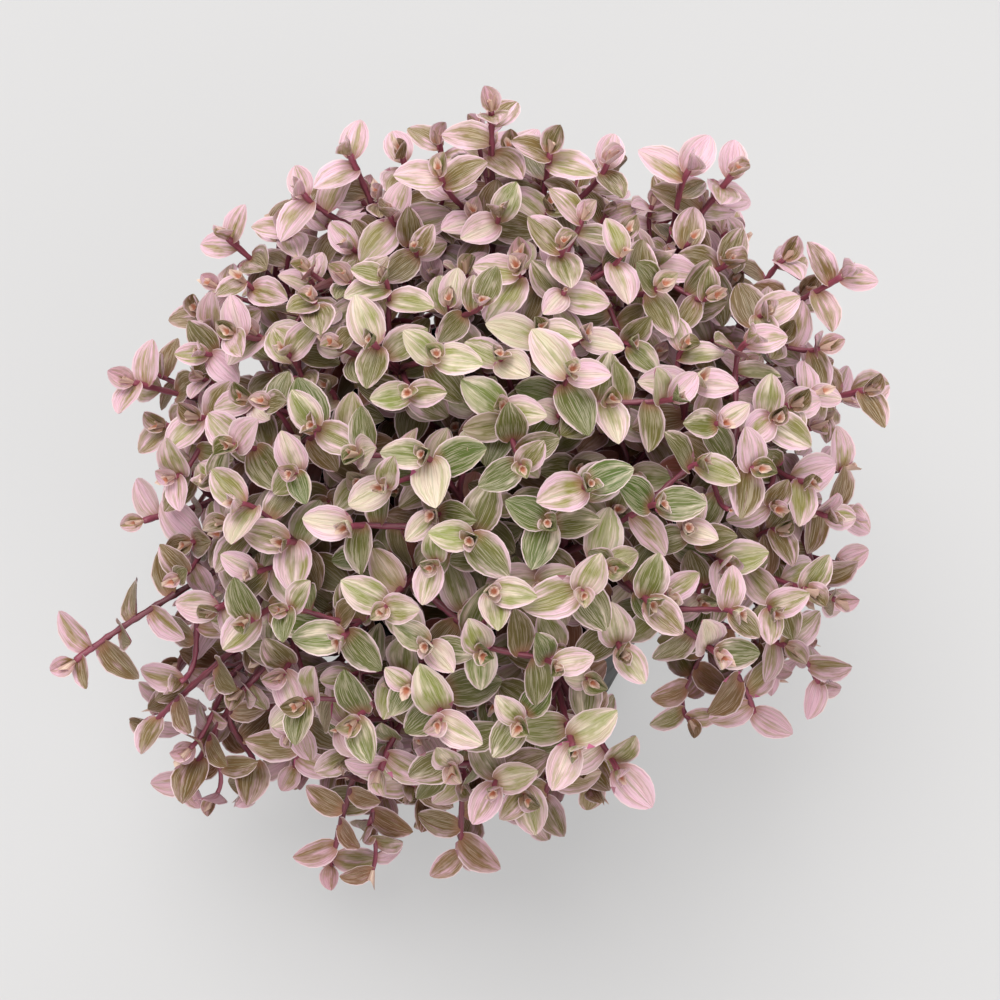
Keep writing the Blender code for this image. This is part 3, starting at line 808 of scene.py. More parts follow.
class Shapes:
    """Surfaces gathered for one mesh: points, faces of three or four corners, and what its materials read."""

    def __init__(self):
        self.points = []
        self.places = []
        self.looks = []
        self.faces = []
        self.count = 0

    def add(self, points, places, faces, looks=None):
        """Points with their places on the surface and their looks, and faces as corners and material."""
        self.points.append(points)
        self.places.append(places)
        self.looks.append(np.zeros((len(points), 4)) if looks is None else looks)
        self.faces += [(corners + self.count, number) for corners, number in faces]
        self.count += len(points)

    def to_mesh(self, name, materials):
        """A mesh of it all, shaded smooth up to its sharp edges."""
        points = np.concatenate(self.points)
        corners = np.concatenate([part.ravel() for part, _ in self.faces])
        sizes = np.concatenate([np.full(len(part), part.shape[1]) for part, _ in self.faces])
        numbers = np.concatenate([np.broadcast_to(number, len(part)) for part, number in self.faces])
        mesh = bpy.data.meshes.new(name)
        mesh.vertices.add(len(points))
        mesh.vertices.foreach_set("co", points.ravel())
        mesh.loops.add(len(corners))
        mesh.loops.foreach_set("vertex_index", corners)
        mesh.polygons.add(len(sizes))
        mesh.polygons.foreach_set("loop_start", np.cumsum(sizes) - sizes)
        for made in materials:
            mesh.materials.append(made)
        mesh.polygons.foreach_set("material_index", numbers)
        place = mesh.uv_layers.new(name="place")
        place.uv.foreach_set("vector", np.concatenate(self.places)[corners].ravel())
        look = mesh.color_attributes.new("look", "FLOAT_COLOR", "POINT")
        look.data.foreach_set("color", np.concatenate(self.looks).ravel())
        mesh.update(calc_edges=True)
        mesh.validate()
        mesh.set_sharp_from_angle(angle=SHARP_EDGE)
        return mesh


def put(name, mesh, node):
    """A finished piece in place of a node of the solids, or beside them where no node is given."""
    piece = bpy.data.objects.new(name, mesh)
    bpy.context.scene.collection.objects.link(piece)
    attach(piece, "root")
    if node is not None:
        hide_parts(node)


def leaf_surfaces(leaves, young, settings, rng):
    """Top and back of every leaf, all at once, as grids of points.

    At u along and v across, the half width is half of LEAF_RATIO of the length by leaf_width, which starts at
    a third of its full width where the leaf clasps the stem, and narrows by LEAF_POINT of u to the fifth. The
    surface rises by the fold times the half width by |v| to the 1.4, falls by the curl times the length by
    half of u squared, and its edge waves. The back lies under it by the thickness times (1 - v squared), so
    both meet at the edge. A young leaf is wider and more cupped, and curls up.
    """
    size, base, way, side, up = (
        np.array([leaf[key] for leaf in leaves])[:, None, None]
        for key in ("length", "base", "way", "side", "up")
    )
    each = (len(leaves), 1, 1)
    u, v = np.meshgrid(LEAF_ROWS, LEAF_COLUMNS, indexing="ij")
    half = 0.5 * LEAF_RATIO * size * np.where(u < 1, leaf_width(LEAF_START + (1 - LEAF_START) * u), 0)
    half = half * np.where(young, YOUNG_WIDTH, 1.0) * (1 - LEAF_POINT * u ** 5)
    cup = LEAF_FOLD * np.where(young, YOUNG_CUP, 1.0) * (1 + 1.6 * np.exp(-u / 0.10))
    phase = 2.2 * 2 * math.pi * u + rng.uniform(0, 2 * math.pi, each) + v
    wave = settings.wave * size * np.sin(phase) * np.abs(v) ** 3 * np.sin(math.pi * u)
    curl = np.where(young, YOUNG_CURL, LEAF_CURL + rng.uniform(*CURL_CHANGE, each))
    rise = cup * half * np.abs(v) ** 1.4 - curl * size * u * u / 2 + wave
    narrow = np.sqrt(np.clip(1 - (0.5 * cup * np.abs(v)) ** 2, 0.35, 1))
    top = base + (size * u)[..., None] * way + (half * v * narrow)[..., None] * side + rise[..., None] * up
    thick = settings.thickness * np.minimum(1, half / THIN_WIDTH) * (1 - v * v)
    return top, top - thick[..., None] * up


def leaf_order(top, back):
    """Each leaf's points in one row: the top's rows, the tip, and the back's inner points."""
    middle = len(LEAF_COLUMNS) // 2
    parts = (top[:, :-1], top[:, -1:, middle:middle + 1], back[:, 1:-1, 1:-1])
    return np.concatenate([part.reshape(len(top), -1, part.shape[-1]) for part in parts], axis=1)


def leaf_faces():
    """Quads and tip triangles of one leaf's top, and then of its back, in that order of points."""
    last = len(LEAF_ROWS) - 1
    columns = len(LEAF_COLUMNS)
    tip = last * columns
    top = np.arange(tip).reshape(last, columns)
    back = top.copy()
    back[1:, 1:-1] = tip + 1 + np.arange((last - 1) * (columns - 2)).reshape(last - 1, columns - 2)
    quads = grid_faces(last, columns)
    tips = np.full(columns - 1, tip)
    top_end = np.stack([top[-1, :-1], top[-1, 1:], tips], axis=-1)
    back_end = np.stack([back[-1, 1:], back[-1, :-1], tips], axis=-1)
    return (top.ravel()[quads], top_end), (back.ravel()[quads][:, ::-1], back_end)


def leaf_shapes(shapes, leaves, settings):
    """Fine leaves with their looks. The back of a young leaf is finished like its top."""
    rng = np.random.default_rng(len(leaves))
    count = len(leaves)
    rank = np.array([leaf["rank"] for leaf in leaves])
    points = leaf_order(*leaf_surfaces(leaves, (rank < 0)[:, None, None], settings, rng))
    u, v = np.meshgrid(LEAF_ROWS, LEAF_COLUMNS, indexing="ij")
    grid = np.stack([(v + 1) / 2, u], axis=-1)[None]
    places = np.tile(leaf_order(grid, grid)[0], (count, 1))
    per_leaf = points.shape[1]
    numbers = TOP, np.where(rank < 0, TOP, BACK)
    faces = [(part, number) for parts, number in zip(leaf_faces(), numbers) for part in parts]
    looks = np.repeat(leaf_looks(leaves, rank, rng), per_leaf, axis=0)
    shapes.add(points.reshape(-1, 3), places, repeated(faces, count, per_leaf), looks)


def leaf_looks(leaves, rank, rng):
    """Per leaf: how green it is, how pink, a number for its pattern, and how old it is with painted shade on
    top.

    A leaf is greener near the greenest place and down its shoot, pinker with the square of its distance from
    that place and where it hangs low, and older down its shoot. Painted shade darkens it further, as age
    does, deep in the crown and where it hangs low.
    """
    count = len(leaves)
    middles = np.array([leaf["base"] for leaf in leaves])
    out = np.hypot(middles[:, 0], middles[:, 1] + GREENEST) / CROWN_OUT
    low = np.clip((LOW_START - middles[:, 2]) / LOW_RANGE, 0, 1)
    green = np.interp(rank, *GREEN_BY_RANK) + 0.16 * np.clip(1 - out, 0, 1) + rng.normal(0, 0.32, count)
    pink = 0.22 + 0.6 * out ** 2 + 0.45 * low + rng.normal(0, 0.16, count)
    depth = np.linalg.norm((middles - [0, 0, CROWN_MIDDLE]) / [CROWN_OUT, CROWN_OUT, CROWN_RISE], axis=1)
    inside = np.clip((1.15 - depth) / 0.3, 0, 1)
    # Age by rank shows only inside the crown; painted shade darkens leaves deep in the crown and where they
    # hang low
    age_and_shade = np.interp(rank, *OLD_BY_RANK) * inside + 1.3 * np.clip(0.84 - depth, 0, 1) + 0.3 * low
    seed = rng.uniform(0, 1, count)
    return np.clip(np.stack([green, pink, seed, age_and_shade], axis=-1), 0, 1)


def stem_shape(shapes, shoot, leaf_places, settings):
    """A round stem along its path, which tapers to the tip and swells as a bell curve at each leaf."""
    path = shoot["path"]
    if shoot["kind"] == "main":
        path = np.concatenate([[[*path[0][:2], SOIL_TOP - STEM_DEPTH + MM]], path])
    lengths = np.concatenate([[0], np.cumsum(np.linalg.norm(np.diff(path, axis=0), axis=1))])
    from_tip = lengths[-1] - lengths
    taper = 1 - (1 - settings.taper) * lengths / lengths[-1]
    bells = np.exp(-((from_tip[:, None] - leaf_places) / SWELLING_REACH) ** 2).sum(axis=1)
    radius = settings.radius * STEM_SHARES[shoot["kind"]] * taper
    radius = radius * (1 + settings.swelling * np.clip(bells, 0, 1))
    tangent = units(np.gradient(path, axis=0))
    crossings = np.cross(tangent[:, None], FRAME_WAYS[None])
    across = units(crossings[:, np.linalg.norm(crossings, axis=2).min(axis=0).argmax()])
    other = np.cross(tangent, across)
    rings = path[:, None] + radius[:, None, None] * circle(STEM_SIDES, across[:, None], other[:, None])
    end = path[-1:] + tangent[-1:] * radius[-1] * 0.6
    points = np.concatenate([rings.reshape(-1, 3), path[:1], end])
    steps = lengths / STEM_PLACE
    turns = np.arange(STEM_SIDES) / STEM_SIDES
    places = np.stack(np.broadcast_arrays(turns, steps[:, None]), axis=-1)
    places = np.concatenate([places.reshape(-1, 2), [[0.5, 0], [0.5, steps[-1]]]])
    looks = np.zeros((len(points), 4))
    looks[:, 0] = np.concatenate([np.repeat(np.exp(-from_tip / YOUNG_STRETCH), STEM_SIDES), [0, 1]])
    shapes.add(points, places, capped_faces(len(path), STEM_SIDES, STEM), looks)


def bud_shape(shapes, shoot, turn, scale, settings):
    """A rolled bud: a profile turned round the shoot's end, with one side of its mouth drawn out to a point.

    The side that is drawn out fades with the square of the cosine of the bearing from it.
    """
    end = shoot["path"][-1]
    axis = unit(end - shoot["path"][-3])
    across = unit(np.cross(axis, NEARLY_UP))
    ring = circle(BUD_SIDES, across, np.cross(axis, across))
    lip = np.clip(np.cos(bearings(BUD_SIDES) - turn), 0, 1) ** 2
    out = BUD_PROFILE[1:-1, 0, None]
    high = BUD_PROFILE[1:-1, 1, None]
    radius = settings.bud_radius * scale * out * (1 + 0.25 * lip * high)
    height = settings.bud_length * scale * high * (1 + 0.8 * lip * high ** 2)
    rings = end + radius[..., None] * ring + height[..., None] * axis
    poles = end + BUD_PROFILE[[0, -1], 1, None] * settings.bud_length * scale * axis
    points = np.concatenate([rings.reshape(-1, 3), poles])
    along = np.linspace(0, 1, len(BUD_PROFILE))[1:-1, None]
    places = np.stack(np.broadcast_arrays(np.arange(BUD_SIDES) / BUD_SIDES, along), axis=-1)
    places = np.concatenate([places.reshape(-1, 2), [[0.5, 0], [0.5, 1]]])
    shapes.add(points, places, capped_faces(len(out), BUD_SIDES, BUD))


class Finish:
    """A material under construction: its nodes are added by short calls, each with its inputs by name."""

    def __init__(self, name):
        self.material = bpy.data.materials.new(name)
        self.material.use_nodes = True
        self.tree = self.material.node_tree
        self.shader = self.tree.nodes["Principled BSDF"]

    def node(self, kind, inputs=None, **settings):
        """A node with its settings, and each input set to a number or linked to an output."""
        made = self.tree.nodes.new("ShaderNode" + kind)
        for key, value in settings.items():
            setattr(made, key, value)
        for key, value in (inputs or {}).items():
            self.feed(made.inputs[key], value)
        return made

    def feed(self, socket, value):
        """A value for a socket: another node's output, a number, or a colour of three numbers."""
        if isinstance(value, bpy.types.NodeSocket):
            self.tree.links.new(value, socket)
        elif socket.type == "RGBA":
            socket.default_value = (*value, 1)
        else:
            socket.default_value = value

    def math(self, operation, first, second=0.0, third=0.0):
        return self.node("Math", {0: first, 1: second, 2: third}, operation=operation).outputs[0]

    def weighed(self, *pairs):
        """The sum of values, each times its weight."""
        total = 0.0
        for value, weight in pairs:
            total = self.math("MULTIPLY_ADD", value, weight, total)
        return total

    def ramp(self, value, low, high, start=0.0, end=1.0):
        """The value's smooth way from low to high, as a number from start to end."""
        inputs = {"Value": value, "From Min": low, "From Max": high, "To Min": start, "To Max": end}
        return self.node("MapRange", inputs, interpolation_type="SMOOTHSTEP").outputs[0]

    def layers(self, colour, *coats):
        """A colour with others mixed into it in turn, each by a part of 0 to 1."""
        for part, coat in coats:
            colour = self.node("Mix", {0: part, 6: colour, 7: coat}, data_type="RGBA").outputs[2]
        return colour

    def noise(self, vector, scale, detail=2.0, roughness=0.5):
        inputs = {"Vector": vector, "Scale": scale, "Detail": detail, "Roughness": roughness}
        return self.node("TexNoise", inputs).outputs["Fac"]

    def drawn(self, vector, factors, detail):
        """Noise drawn out along some axes, by a factor for each."""
        longer = self.node("VectorMath", {0: vector, 1: factors}, operation="MULTIPLY")
        return self.noise(longer.outputs[0], 1.0, detail)

    def bump(self, height, strength, distance):
        inputs = {"Height": height, "Strength": strength, "Distance": distance}
        self.feed(self.shader.inputs["Normal"], self.node("Bump", inputs).outputs[0])

    def set(self, **values):
        """The shader's own sockets, by name with _ for a space."""
        for key, value in values.items():
            self.feed(self.shader.inputs[key.replace("_", " ")], value)


def leaf_pattern(finish):
    """What both faces of a leaf read: its look's four parts, its place, and where its pattern starts."""
    look = finish.node("Attribute", attribute_name="look")
    green, pink, seed = finish.node("SeparateColor", {0: look.outputs["Color"]}).outputs
    place = finish.node("UVMap", uv_map="place").outputs[0]
    spot = finish.node("SeparateXYZ", {0: place}).outputs
    across = finish.math("MULTIPLY_ADD", spot[0], 2.0, -1.0)
    start = finish.math("MULTIPLY", seed, PATTERN_STARTS)
    pattern = finish.node("CombineXYZ", {0: across, 1: spot[1], 2: start}).outputs[0]
    return green, pink, seed, look.outputs["Alpha"], across, spot[1], pattern


def leaf_top_material(settings):
    """Pale leaf with green zones and stripes along its veins, fine lines, a pale edge and a brown base, and
    olive and mauve for age and for painted shade.
    """
    finish = Finish("leaf_top")
    green, pink, seed, age_and_shade, across, along, pattern = leaf_pattern(finish)
    zones = finish.drawn(pattern, (1.6, 1.5, 1.0), 3.0)
    stripes = finish.drawn(pattern, (6.0, 0.7, 1.0), 2.0)
    lines = finish.drawn(pattern, (20.0, 2.0, 1.0), 2.0)
    beside = finish.math("ABSOLUTE", across)
    edge = finish.math("POWER", beside, 2.5)
    end = finish.math("POWER", along, 4.0)
    groove = finish.ramp(beside, 0.0, 0.07, 1.0, 0.0)
    drive = finish.weighed(
        (zones, 1.5), (stripes, 0.6), (lines, 0.45), (green, 0.66), (edge, -0.35), (end, -0.2)
    )
    rosy = finish.weighed((beside, 0.5), (pink, 1.0), (zones, 1.0))
    pale = finish.layers(
        settings.cream,
        (finish.ramp(rosy, 0.75, 1.4), settings.pink),
        (finish.ramp(stripes, 0.42, 0.62, 0.0, 0.3), settings.light_green),
        (finish.ramp(lines, 0.5, 0.6, 0.0, 0.3), settings.mauve),
    )
    leafy = finish.layers(
        settings.light_green,
        (finish.ramp(green, 0.3, 0.95), settings.deep_green),
        (finish.math("MULTIPLY", pink, 0.45), settings.mauve),
        (finish.ramp(lines, 0.49, 0.58, 0.0, 0.34), settings.cream),
    )
    # Olive and mauve for old leaves, also used as painted shade deep in the crown and where leaves hang low
    aged_and_shaded = finish.layers(settings.olive, (finish.ramp(seed, 0.35, 0.65), settings.mauve))
    top = finish.layers(
        pale,
        (finish.ramp(drive, 1.28, 1.72), leafy),
        (finish.math("MULTIPLY", age_and_shade, 0.85), aged_and_shaded),
        (finish.ramp(along, 0.0, 0.3, 0.75, 0.0), settings.heart),
        (finish.ramp(beside, 0.9, 0.97, 0.0, 0.85), settings.margin),
        (finish.math("MULTIPLY", groove, 0.2), settings.deep_green),
    )
    rough = finish.ramp(lines, 0.3, 0.7, settings.roughness - 0.06, settings.roughness + 0.12)
    finish.set(Base_Color=top, Roughness=rough, Specular_IOR_Level=0.36, **LEAF_GLOW)
    finish.bump(finish.math("SUBTRACT", lines, groove), 0.35, 0.15 * MM)
    return finish.material


def leaf_back_material(settings):
    """Mauve back of a leaf: paler between veins, browner where green or old, olive where painted shade lies
    deep and low.
    """
    finish = Finish("leaf_back")
    green, _, seed, age_and_shade, across, _, pattern = leaf_pattern(finish)
    stripes = finish.drawn(pattern, (6.0, 0.7, 1.0), 2.0)
    lines = finish.drawn(pattern, (20.0, 2.0, 1.0), 2.0)
    ridge = finish.ramp(finish.math("ABSOLUTE", across), 0.0, 0.1, 1.0, 0.0)
    # The olive layer is age and painted shade: deep in the crown and where the leaf hangs low
    back = finish.layers(
        settings.underside,
        (finish.ramp(stripes, 0.4, 0.62), settings.under_pale),
        (finish.math("MULTIPLY", green, 0.5), settings.mauve),
        (finish.math("MULTIPLY", age_and_shade, 0.6), settings.olive),
        (finish.ramp(seed, 0.8, 0.92, 0.0, 0.75), settings.blush),
        (finish.math("MULTIPLY", ridge, 0.4), settings.under_pale),
    )
    rough = finish.ramp(lines, 0.3, 0.7, settings.roughness, settings.roughness + 0.12)
    finish.set(Base_Color=back, Roughness=rough, **LEAF_GLOW)
    finish.bump(finish.math("ADD", lines, ridge), 0.3, 0.12 * MM)
    return finish.material


def stem_material(settings):
    """Maroon stem with brighter streaks along it, brightest near its tip."""
    finish = Finish("stem")
    look = finish.node("Attribute", attribute_name="look").outputs["Color"]
    young = finish.node("SeparateColor", {0: look}).outputs[0]
    place = finish.node("UVMap", uv_map="place").outputs[0]
    streaks = finish.drawn(place, (7.0, 1.2, 1.0), 3.0)
    drive = finish.math("MULTIPLY_ADD", young, 0.4, streaks)
    stem = finish.layers(settings.dark, (finish.ramp(drive, 0.4, 0.95), settings.bright))
    finish.set(Base_Color=stem, Roughness=finish.ramp(streaks, 0.2, 0.8, 0.36, 0.52))
    finish.bump(streaks, 0.25, 0.1 * MM)
    return finish.material


def bud_material(settings):
    """Pale bud with faint stripes, and a reddish brown throat."""
    finish = Finish("bud")
    place = finish.node("UVMap", uv_map="place").outputs[0]
    along = finish.node("SeparateXYZ", {0: place}).outputs[1]
    streaks = finish.drawn(place, (9.0, 1.0, 1.0), 2.0)
    bud = finish.layers(
        settings.bud,
        (finish.ramp(streaks, 0.4, 0.65, 0.0, 0.5), settings.bright),
        (finish.ramp(along, 0.66, 0.86), settings.bud_inside),
    )
    finish.set(Base_Color=bud, Roughness=finish.ramp(streaks, 0.2, 0.8, 0.4, 0.55))
    finish.bump(streaks, 0.2, 0.1 * MM)
    return finish.material


def pot_material(settings):
    """Black moulded plastic: satin, with faint flow marks round it and dust that clings in patches."""
    finish = Finish("pot_plastic_fine")
    spot = finish.node("TexCoord").outputs["Object"]
    patches = finish.noise(spot, 55.0, 4.0, 0.6)
    grain = finish.noise(spot, 1800.0)
    rings = finish.drawn(spot, (6.0, 6.0, 900.0), 2.0)
    dusty = finish.ramp(patches, 0.52, 0.78, 0.0, 0.45)
    shell = finish.layers(settings.plastic, (dusty, settings.dust))
    rough = finish.math("MULTIPLY_ADD", dusty, 0.5, settings.roughness)
    finish.set(Base_Color=shell, Roughness=rough, Specular_IOR_Level=0.12)
    finish.bump(finish.math("MULTIPLY_ADD", rings, 0.5, grain), 0.18, 0.1 * MM)
    return finish.material


def soil_material(settings):
    """Dark peat with paler crumbs and fine grit."""
    finish = Finish("soil_fine")
    spot = finish.node("TexCoord").outputs["Object"]
    crumbs = finish.noise(spot, 520.0, 5.0, 0.65)
    bits = finish.node("TexVoronoi", {"Vector": spot, "Scale": 420.0}).outputs["Distance"]
    soil = finish.layers(
        settings.peat,
        (finish.ramp(crumbs, 0.45, 0.75), settings.bark),
        (finish.ramp(bits, 0.05, 0.4, 0.5, 0.0), settings.peat),
    )
    finish.set(Base_Color=soil, Roughness=finish.ramp(crumbs, 0.2, 0.8, 0.8, 0.98))
    finish.bump(finish.math("ADD", crumbs, bits), 0.8, 0.5 * MM)
    return finish.material


def perlite_material(settings):
    """Chalky white grains with small pits."""
    finish = Finish("perlite")
    spot = finish.node("TexCoord").outputs["Object"]
    pits = finish.noise(spot, 1500.0, 3.0, 0.6)
    grain = finish.layers(
        settings.bark, (finish.ramp(pits, 0.35, 0.65), settings.perlite), (0.75, settings.perlite)
    )
    finish.set(Base_Color=grain, Roughness=finish.ramp(pits, 0.2, 0.8, 0.8, 0.95))
    finish.bump(pits, 0.6, 0.2 * MM)
    return finish.material


def floor_material(settings):
    """Pale matt floor with faint clouds, which gives off some light as a light table does."""
    finish = Finish("floor")
    cloud = finish.noise(finish.node("TexCoord").outputs["Object"], 3.0, 3.0)
    shade = tuple(value * 0.94 for value in settings.floor)
    floor = finish.layers(settings.floor, (finish.ramp(cloud, 0.2, 0.8), shade))
    finish.set(Base_Color=floor, Roughness=0.9)
    finish.set(Emission_Color=(1.0, 1.0, 1.0), Emission_Strength=settings.floor_glow)
    return finish.material


class VINE_OT_sprays(bpy.types.Operator):
    """Add every leafy spray: leaves, stems and buds, one piece for each spray of the solids"""

    bl_idname = "turtle_vine.sprays"
    bl_label = "Leafy sprays"

    def execute(self, context):
        leaf_settings = context.scene.vine_leaves
        stem_settings = context.scene.vine_stems
        shoots, leaves = grow_plant()
        materials = (
            leaf_top_material(leaf_settings),
            leaf_back_material(leaf_settings),
            stem_material(stem_settings),
            bud_material(stem_settings),
        )
        rng = np.random.default_rng(FILL_SEED)
        turns = rng.uniform(0, 2 * math.pi, len(shoots))
        scales = rng.uniform(*BUD_SIZES, len(shoots))
        places = np.append(LEAF_PLACES, [place * MM for _, _, place, _ in MORE_LEAVES])
        sprays = list(dict.fromkeys(shoot["spray"] for shoot in shoots if shoot["kind"] == "main"))
        for number, spray in enumerate(sprays, start=1):
            members = [index for index, shoot in enumerate(shoots) if shoot["spray"] == spray]
            shapes = Shapes()
            leaf_shapes(shapes, [leaf for leaf in leaves if leaf["shoot"] in members], leaf_settings)
            for index in members:
                stem_shape(shapes, shoots[index], places, stem_settings)
                scale = scales[index] * shoots[index]["bud"]
                bud_shape(shapes, shoots[index], turns[index], scale, stem_settings)
            name = f"leafy_spray_{number:02d}"
            put(name, shapes.to_mesh(name, materials), f"spray_{number:02d}")
        print(len(shoots), "shoots,", len(leaves), "leaves")
        return {"FINISHED"}


def lathe_points(profile, sides):
    """A profile of (radius, height) points turned round the Z axis, ring by ring."""
    heights = np.broadcast_to(profile[:, 1:], (len(profile), sides))
    return at(bearings(sides)[None], profile[:, :1], heights)


def add_lathe(shapes, rings, top, bottom, middle=(0, 0, 0)):
    """A closed turned solid: rings from the top down, and poles at the heights of its top and bottom."""
    points = np.concatenate([rings.reshape(-1, 3), [[0, 0, top], [0, 0, bottom]]]) + middle
    faces = capped_faces(rings.shape[0], rings.shape[1], 0, downward=True)
    shapes.add(points, points[:, :2] / RIM_RADIUS, faces)


def wall_radius(height):
    """Outer radius of the pot's tapered wall under its rim band."""
    return BASE_RADIUS + (RIM_RADIUS - RIM_STEP - BASE_RADIUS) * height / (POT_HEIGHT - RIM_BAND)


def arc(middle, radius, start, end, count):
    """Points of an arc in a profile, with its angles in degrees."""
    angles = np.radians(np.linspace(start, end, count))
    return np.stack([middle[0] + radius * np.cos(angles), middle[1] + radius * np.sin(angles)], axis=-1)


def pot_profile():
    """The pot's wall from inside the floor up, over the rolled rim, down past the band and to the foot."""
    band = POT_HEIGHT - RIM_BAND
    inner_rim = RIM_RADIUS - POT_WALL
    inner_base = BASE_RADIUS - POT_WALL
    heights = np.linspace(band - MM, FOOT_ROUND + MM, WALL_ROWS)
    return np.concatenate([
        [(inner_base - MM, POT_WALL), (inner_base, POT_WALL + MM)],
        [(wall_radius(band) - POT_WALL, band), (inner_rim, band + RIM_STEP)],
        arc((inner_rim + POT_WALL / 2, POT_HEIGHT - POT_WALL / 2), POT_WALL / 2, 180, 0, 7),
        arc((RIM_RADIUS - BAND_ROUND, band + BAND_ROUND), BAND_ROUND, 0, -90, 4),
        [(wall_radius(band) + 0.3 * MM, band)],
        np.stack([wall_radius(heights), heights], axis=-1),
        arc((BASE_RADIUS - FOOT_ROUND, FOOT_ROUND), FOOT_ROUND, 0, -90, 5),
    ])


def pot_mesh(settings):
    """The turned pot, not yet cut."""
    shapes = Shapes()
    add_lathe(shapes, lathe_points(pot_profile(), settings.sides), POT_WALL, 0)
    return shapes.to_mesh("nursery_pot", [pot_material(settings)])


def drain_mesh():
    """Upright cylinders that cut the drainage holes, evenly round the middle of the pot's floor."""
    shapes = Shapes()
    reach = 3 * POT_WALL
    rings = lathe_points(np.array([(DRAIN_RADIUS, reach), (DRAIN_RADIUS, -reach)]), DRAIN_SIDES)
    for middle in at(bearings(DRAIN_COUNT), DRAIN_OUT, np.zeros(DRAIN_COUNT)):
        add_lathe(shapes, rings, reach, -reach, middle)
    return shapes.to_mesh("drain_cutter", [])


class VINE_OT_pot(bpy.types.Operator):
    """Add the pot with its rolled rim, rim band and drainage holes"""

    bl_idname = "turtle_vine.pot"
    bl_label = "Pot"

    def execute(self, context):
        pot = bpy.data.objects.new("uncut_pot", pot_mesh(context.scene.vine_pot))
        cutter = bpy.data.objects.new("drain_cutter", drain_mesh())
        for made in (pot, cutter):
            context.scene.collection.objects.link(made)
        boolean = pot.modifiers.new("Holes", "BOOLEAN")
        boolean.operation = "DIFFERENCE"
        boolean.object = cutter
        boolean.solver = "EXACT"
        context.view_layer.update()
        finished = bpy.data.meshes.new_from_object(pot.evaluated_get(context.evaluated_depsgraph_get()))
        for made in (pot, cutter):
            bpy.data.objects.remove(made)
        finished.set_sharp_from_angle(angle=POT_SHARP_EDGE)
        put("nursery_pot", finished, "pot")
        return {"FINISHED"}


def soil_height(out, rim):
    """Height of the soil's low crown by the distance from its middle."""
    return SOIL_TOP + SOIL_CROWN * (1 - (out / rim) ** 2)


def hills(points, rng, count, size):
    """Smooth random heights over flat points: the sum of waves with random ways, lengths and starts."""
    ways = rng.uniform(0, 2 * math.pi, count)
    waves = 2 * math.pi / (size * rng.uniform(0.6, 1.8, count))
    starts = rng.uniform(0, 2 * math.pi, count)
    along = points[..., 0, None] * np.cos(ways) * waves + points[..., 1, None] * np.sin(ways) * waves
    return np.sin(along + starts).sum(axis=-1) / math.sqrt(count)


def soil_mesh(settings, rim, rng):
    """The soil's low crown with crumbs all over its top, on a tapered body that fills the pot."""
    edge = SOIL_TOP - SOIL_EDGE
    reach = rim - SOIL_EDGE / 2
    out = np.linspace(0, reach, SOIL_ROWS)
    top = np.stack([out, soil_height(out, rim) - SOIL_SUNK], axis=-1)
    body = [(rim, edge), (BASE_RADIUS - SOIL_INSET, SOIL_INSET), (BASE_RADIUS / 2, SOIL_INSET)]
    rings = lathe_points(np.concatenate([top[1:], body]), SOIL_SIDES)
    flat = (rings[..., 2] > edge + MM) & (np.hypot(rings[..., 0], rings[..., 1]) < reach)
    crumbs = settings.relief * 0.5 * hills(rings, rng, CRUMB_WAVES, CRUMB_SIZE)
    rings = rings + np.where(flat, crumbs, 0)[..., None] * np.array([0, 0, 1])
    shapes = Shapes()
    add_lathe(shapes, rings, top[0, 1], SOIL_INSET)
    return shapes.to_mesh("potting_soil", [soil_material(settings)])


def perlite_mesh(settings, rim, rng):
    """Small balls, each squashed and with each point moved in or out at random, strewn over the soil."""
    count = settings.perlite_count
    polar = np.linspace(0, math.pi, GRAIN_ROWS + 2)[1:-1]
    profile = np.stack([np.sin(polar), np.cos(polar)], axis=-1)
    ball = np.concatenate([lathe_points(profile, GRAIN_SIDES).reshape(-1, 3), [[0, 0, 1], [0, 0, -1]]])
    radius = settings.perlite_radius * rng.uniform(0.4, 1, count) ** 1.5
    lumps = ball[None] * (1 + rng.uniform(-0.28, 0.28, (count, len(ball), 1))) * radius[:, None, None]
    lumps = lumps * rng.uniform(0.7, 1.2, (count, 1, 3))
    out = np.sqrt(rng.uniform(0, 1, count)) * (rim - GRAIN_MARGIN)
    bearing = rng.uniform(0, 2 * math.pi, count)
    middles = at(bearing, out, soil_height(out, rim) - GRAIN_SUNK)
    points = (lumps + middles[:, None]).reshape(-1, 3)
    faces = capped_faces(GRAIN_ROWS, GRAIN_SIDES, 0, downward=True)
    shapes = Shapes()
    shapes.add(points, points[:, :2], repeated(faces, count, len(ball)))
    return shapes.to_mesh("perlite_grains", [perlite_material(settings)])


class VINE_OT_soil(bpy.types.Operator):
    """Add the soil with its crumbs, and the white perlite grains on it"""

    bl_idname = "turtle_vine.soil"
    bl_label = "Soil and perlite"

    def execute(self, context):
        settings = context.scene.vine_soil
        rng = np.random.default_rng(FILL_SEED)
        rim = wall_radius(SOIL_TOP - SOIL_EDGE) - SOIL_INSET
        put("potting_soil", soil_mesh(settings, rim, rng), "soil")
        put("perlite_grains", perlite_mesh(settings, rim, rng), None)
        return {"FINISHED"}


def add_floor(scene, settings):
    """A wide flat floor just under the pot."""
    mesh = bpy.data.meshes.new("floor")
    corners = [(-FLOOR_REACH, -FLOOR_REACH, 0), (FLOOR_REACH, -FLOOR_REACH, 0)]
    corners += [(FLOOR_REACH, FLOOR_REACH, 0), (-FLOOR_REACH, FLOOR_REACH, 0)]
    mesh.from_pydata(corners, [], [(0, 1, 2, 3)])
    mesh.materials.append(floor_material(settings))
    floor = bpy.data.objects.new("floor", mesh)
    scene.collection.objects.link(floor)
    floor.location.z = -FLOOR_DROP


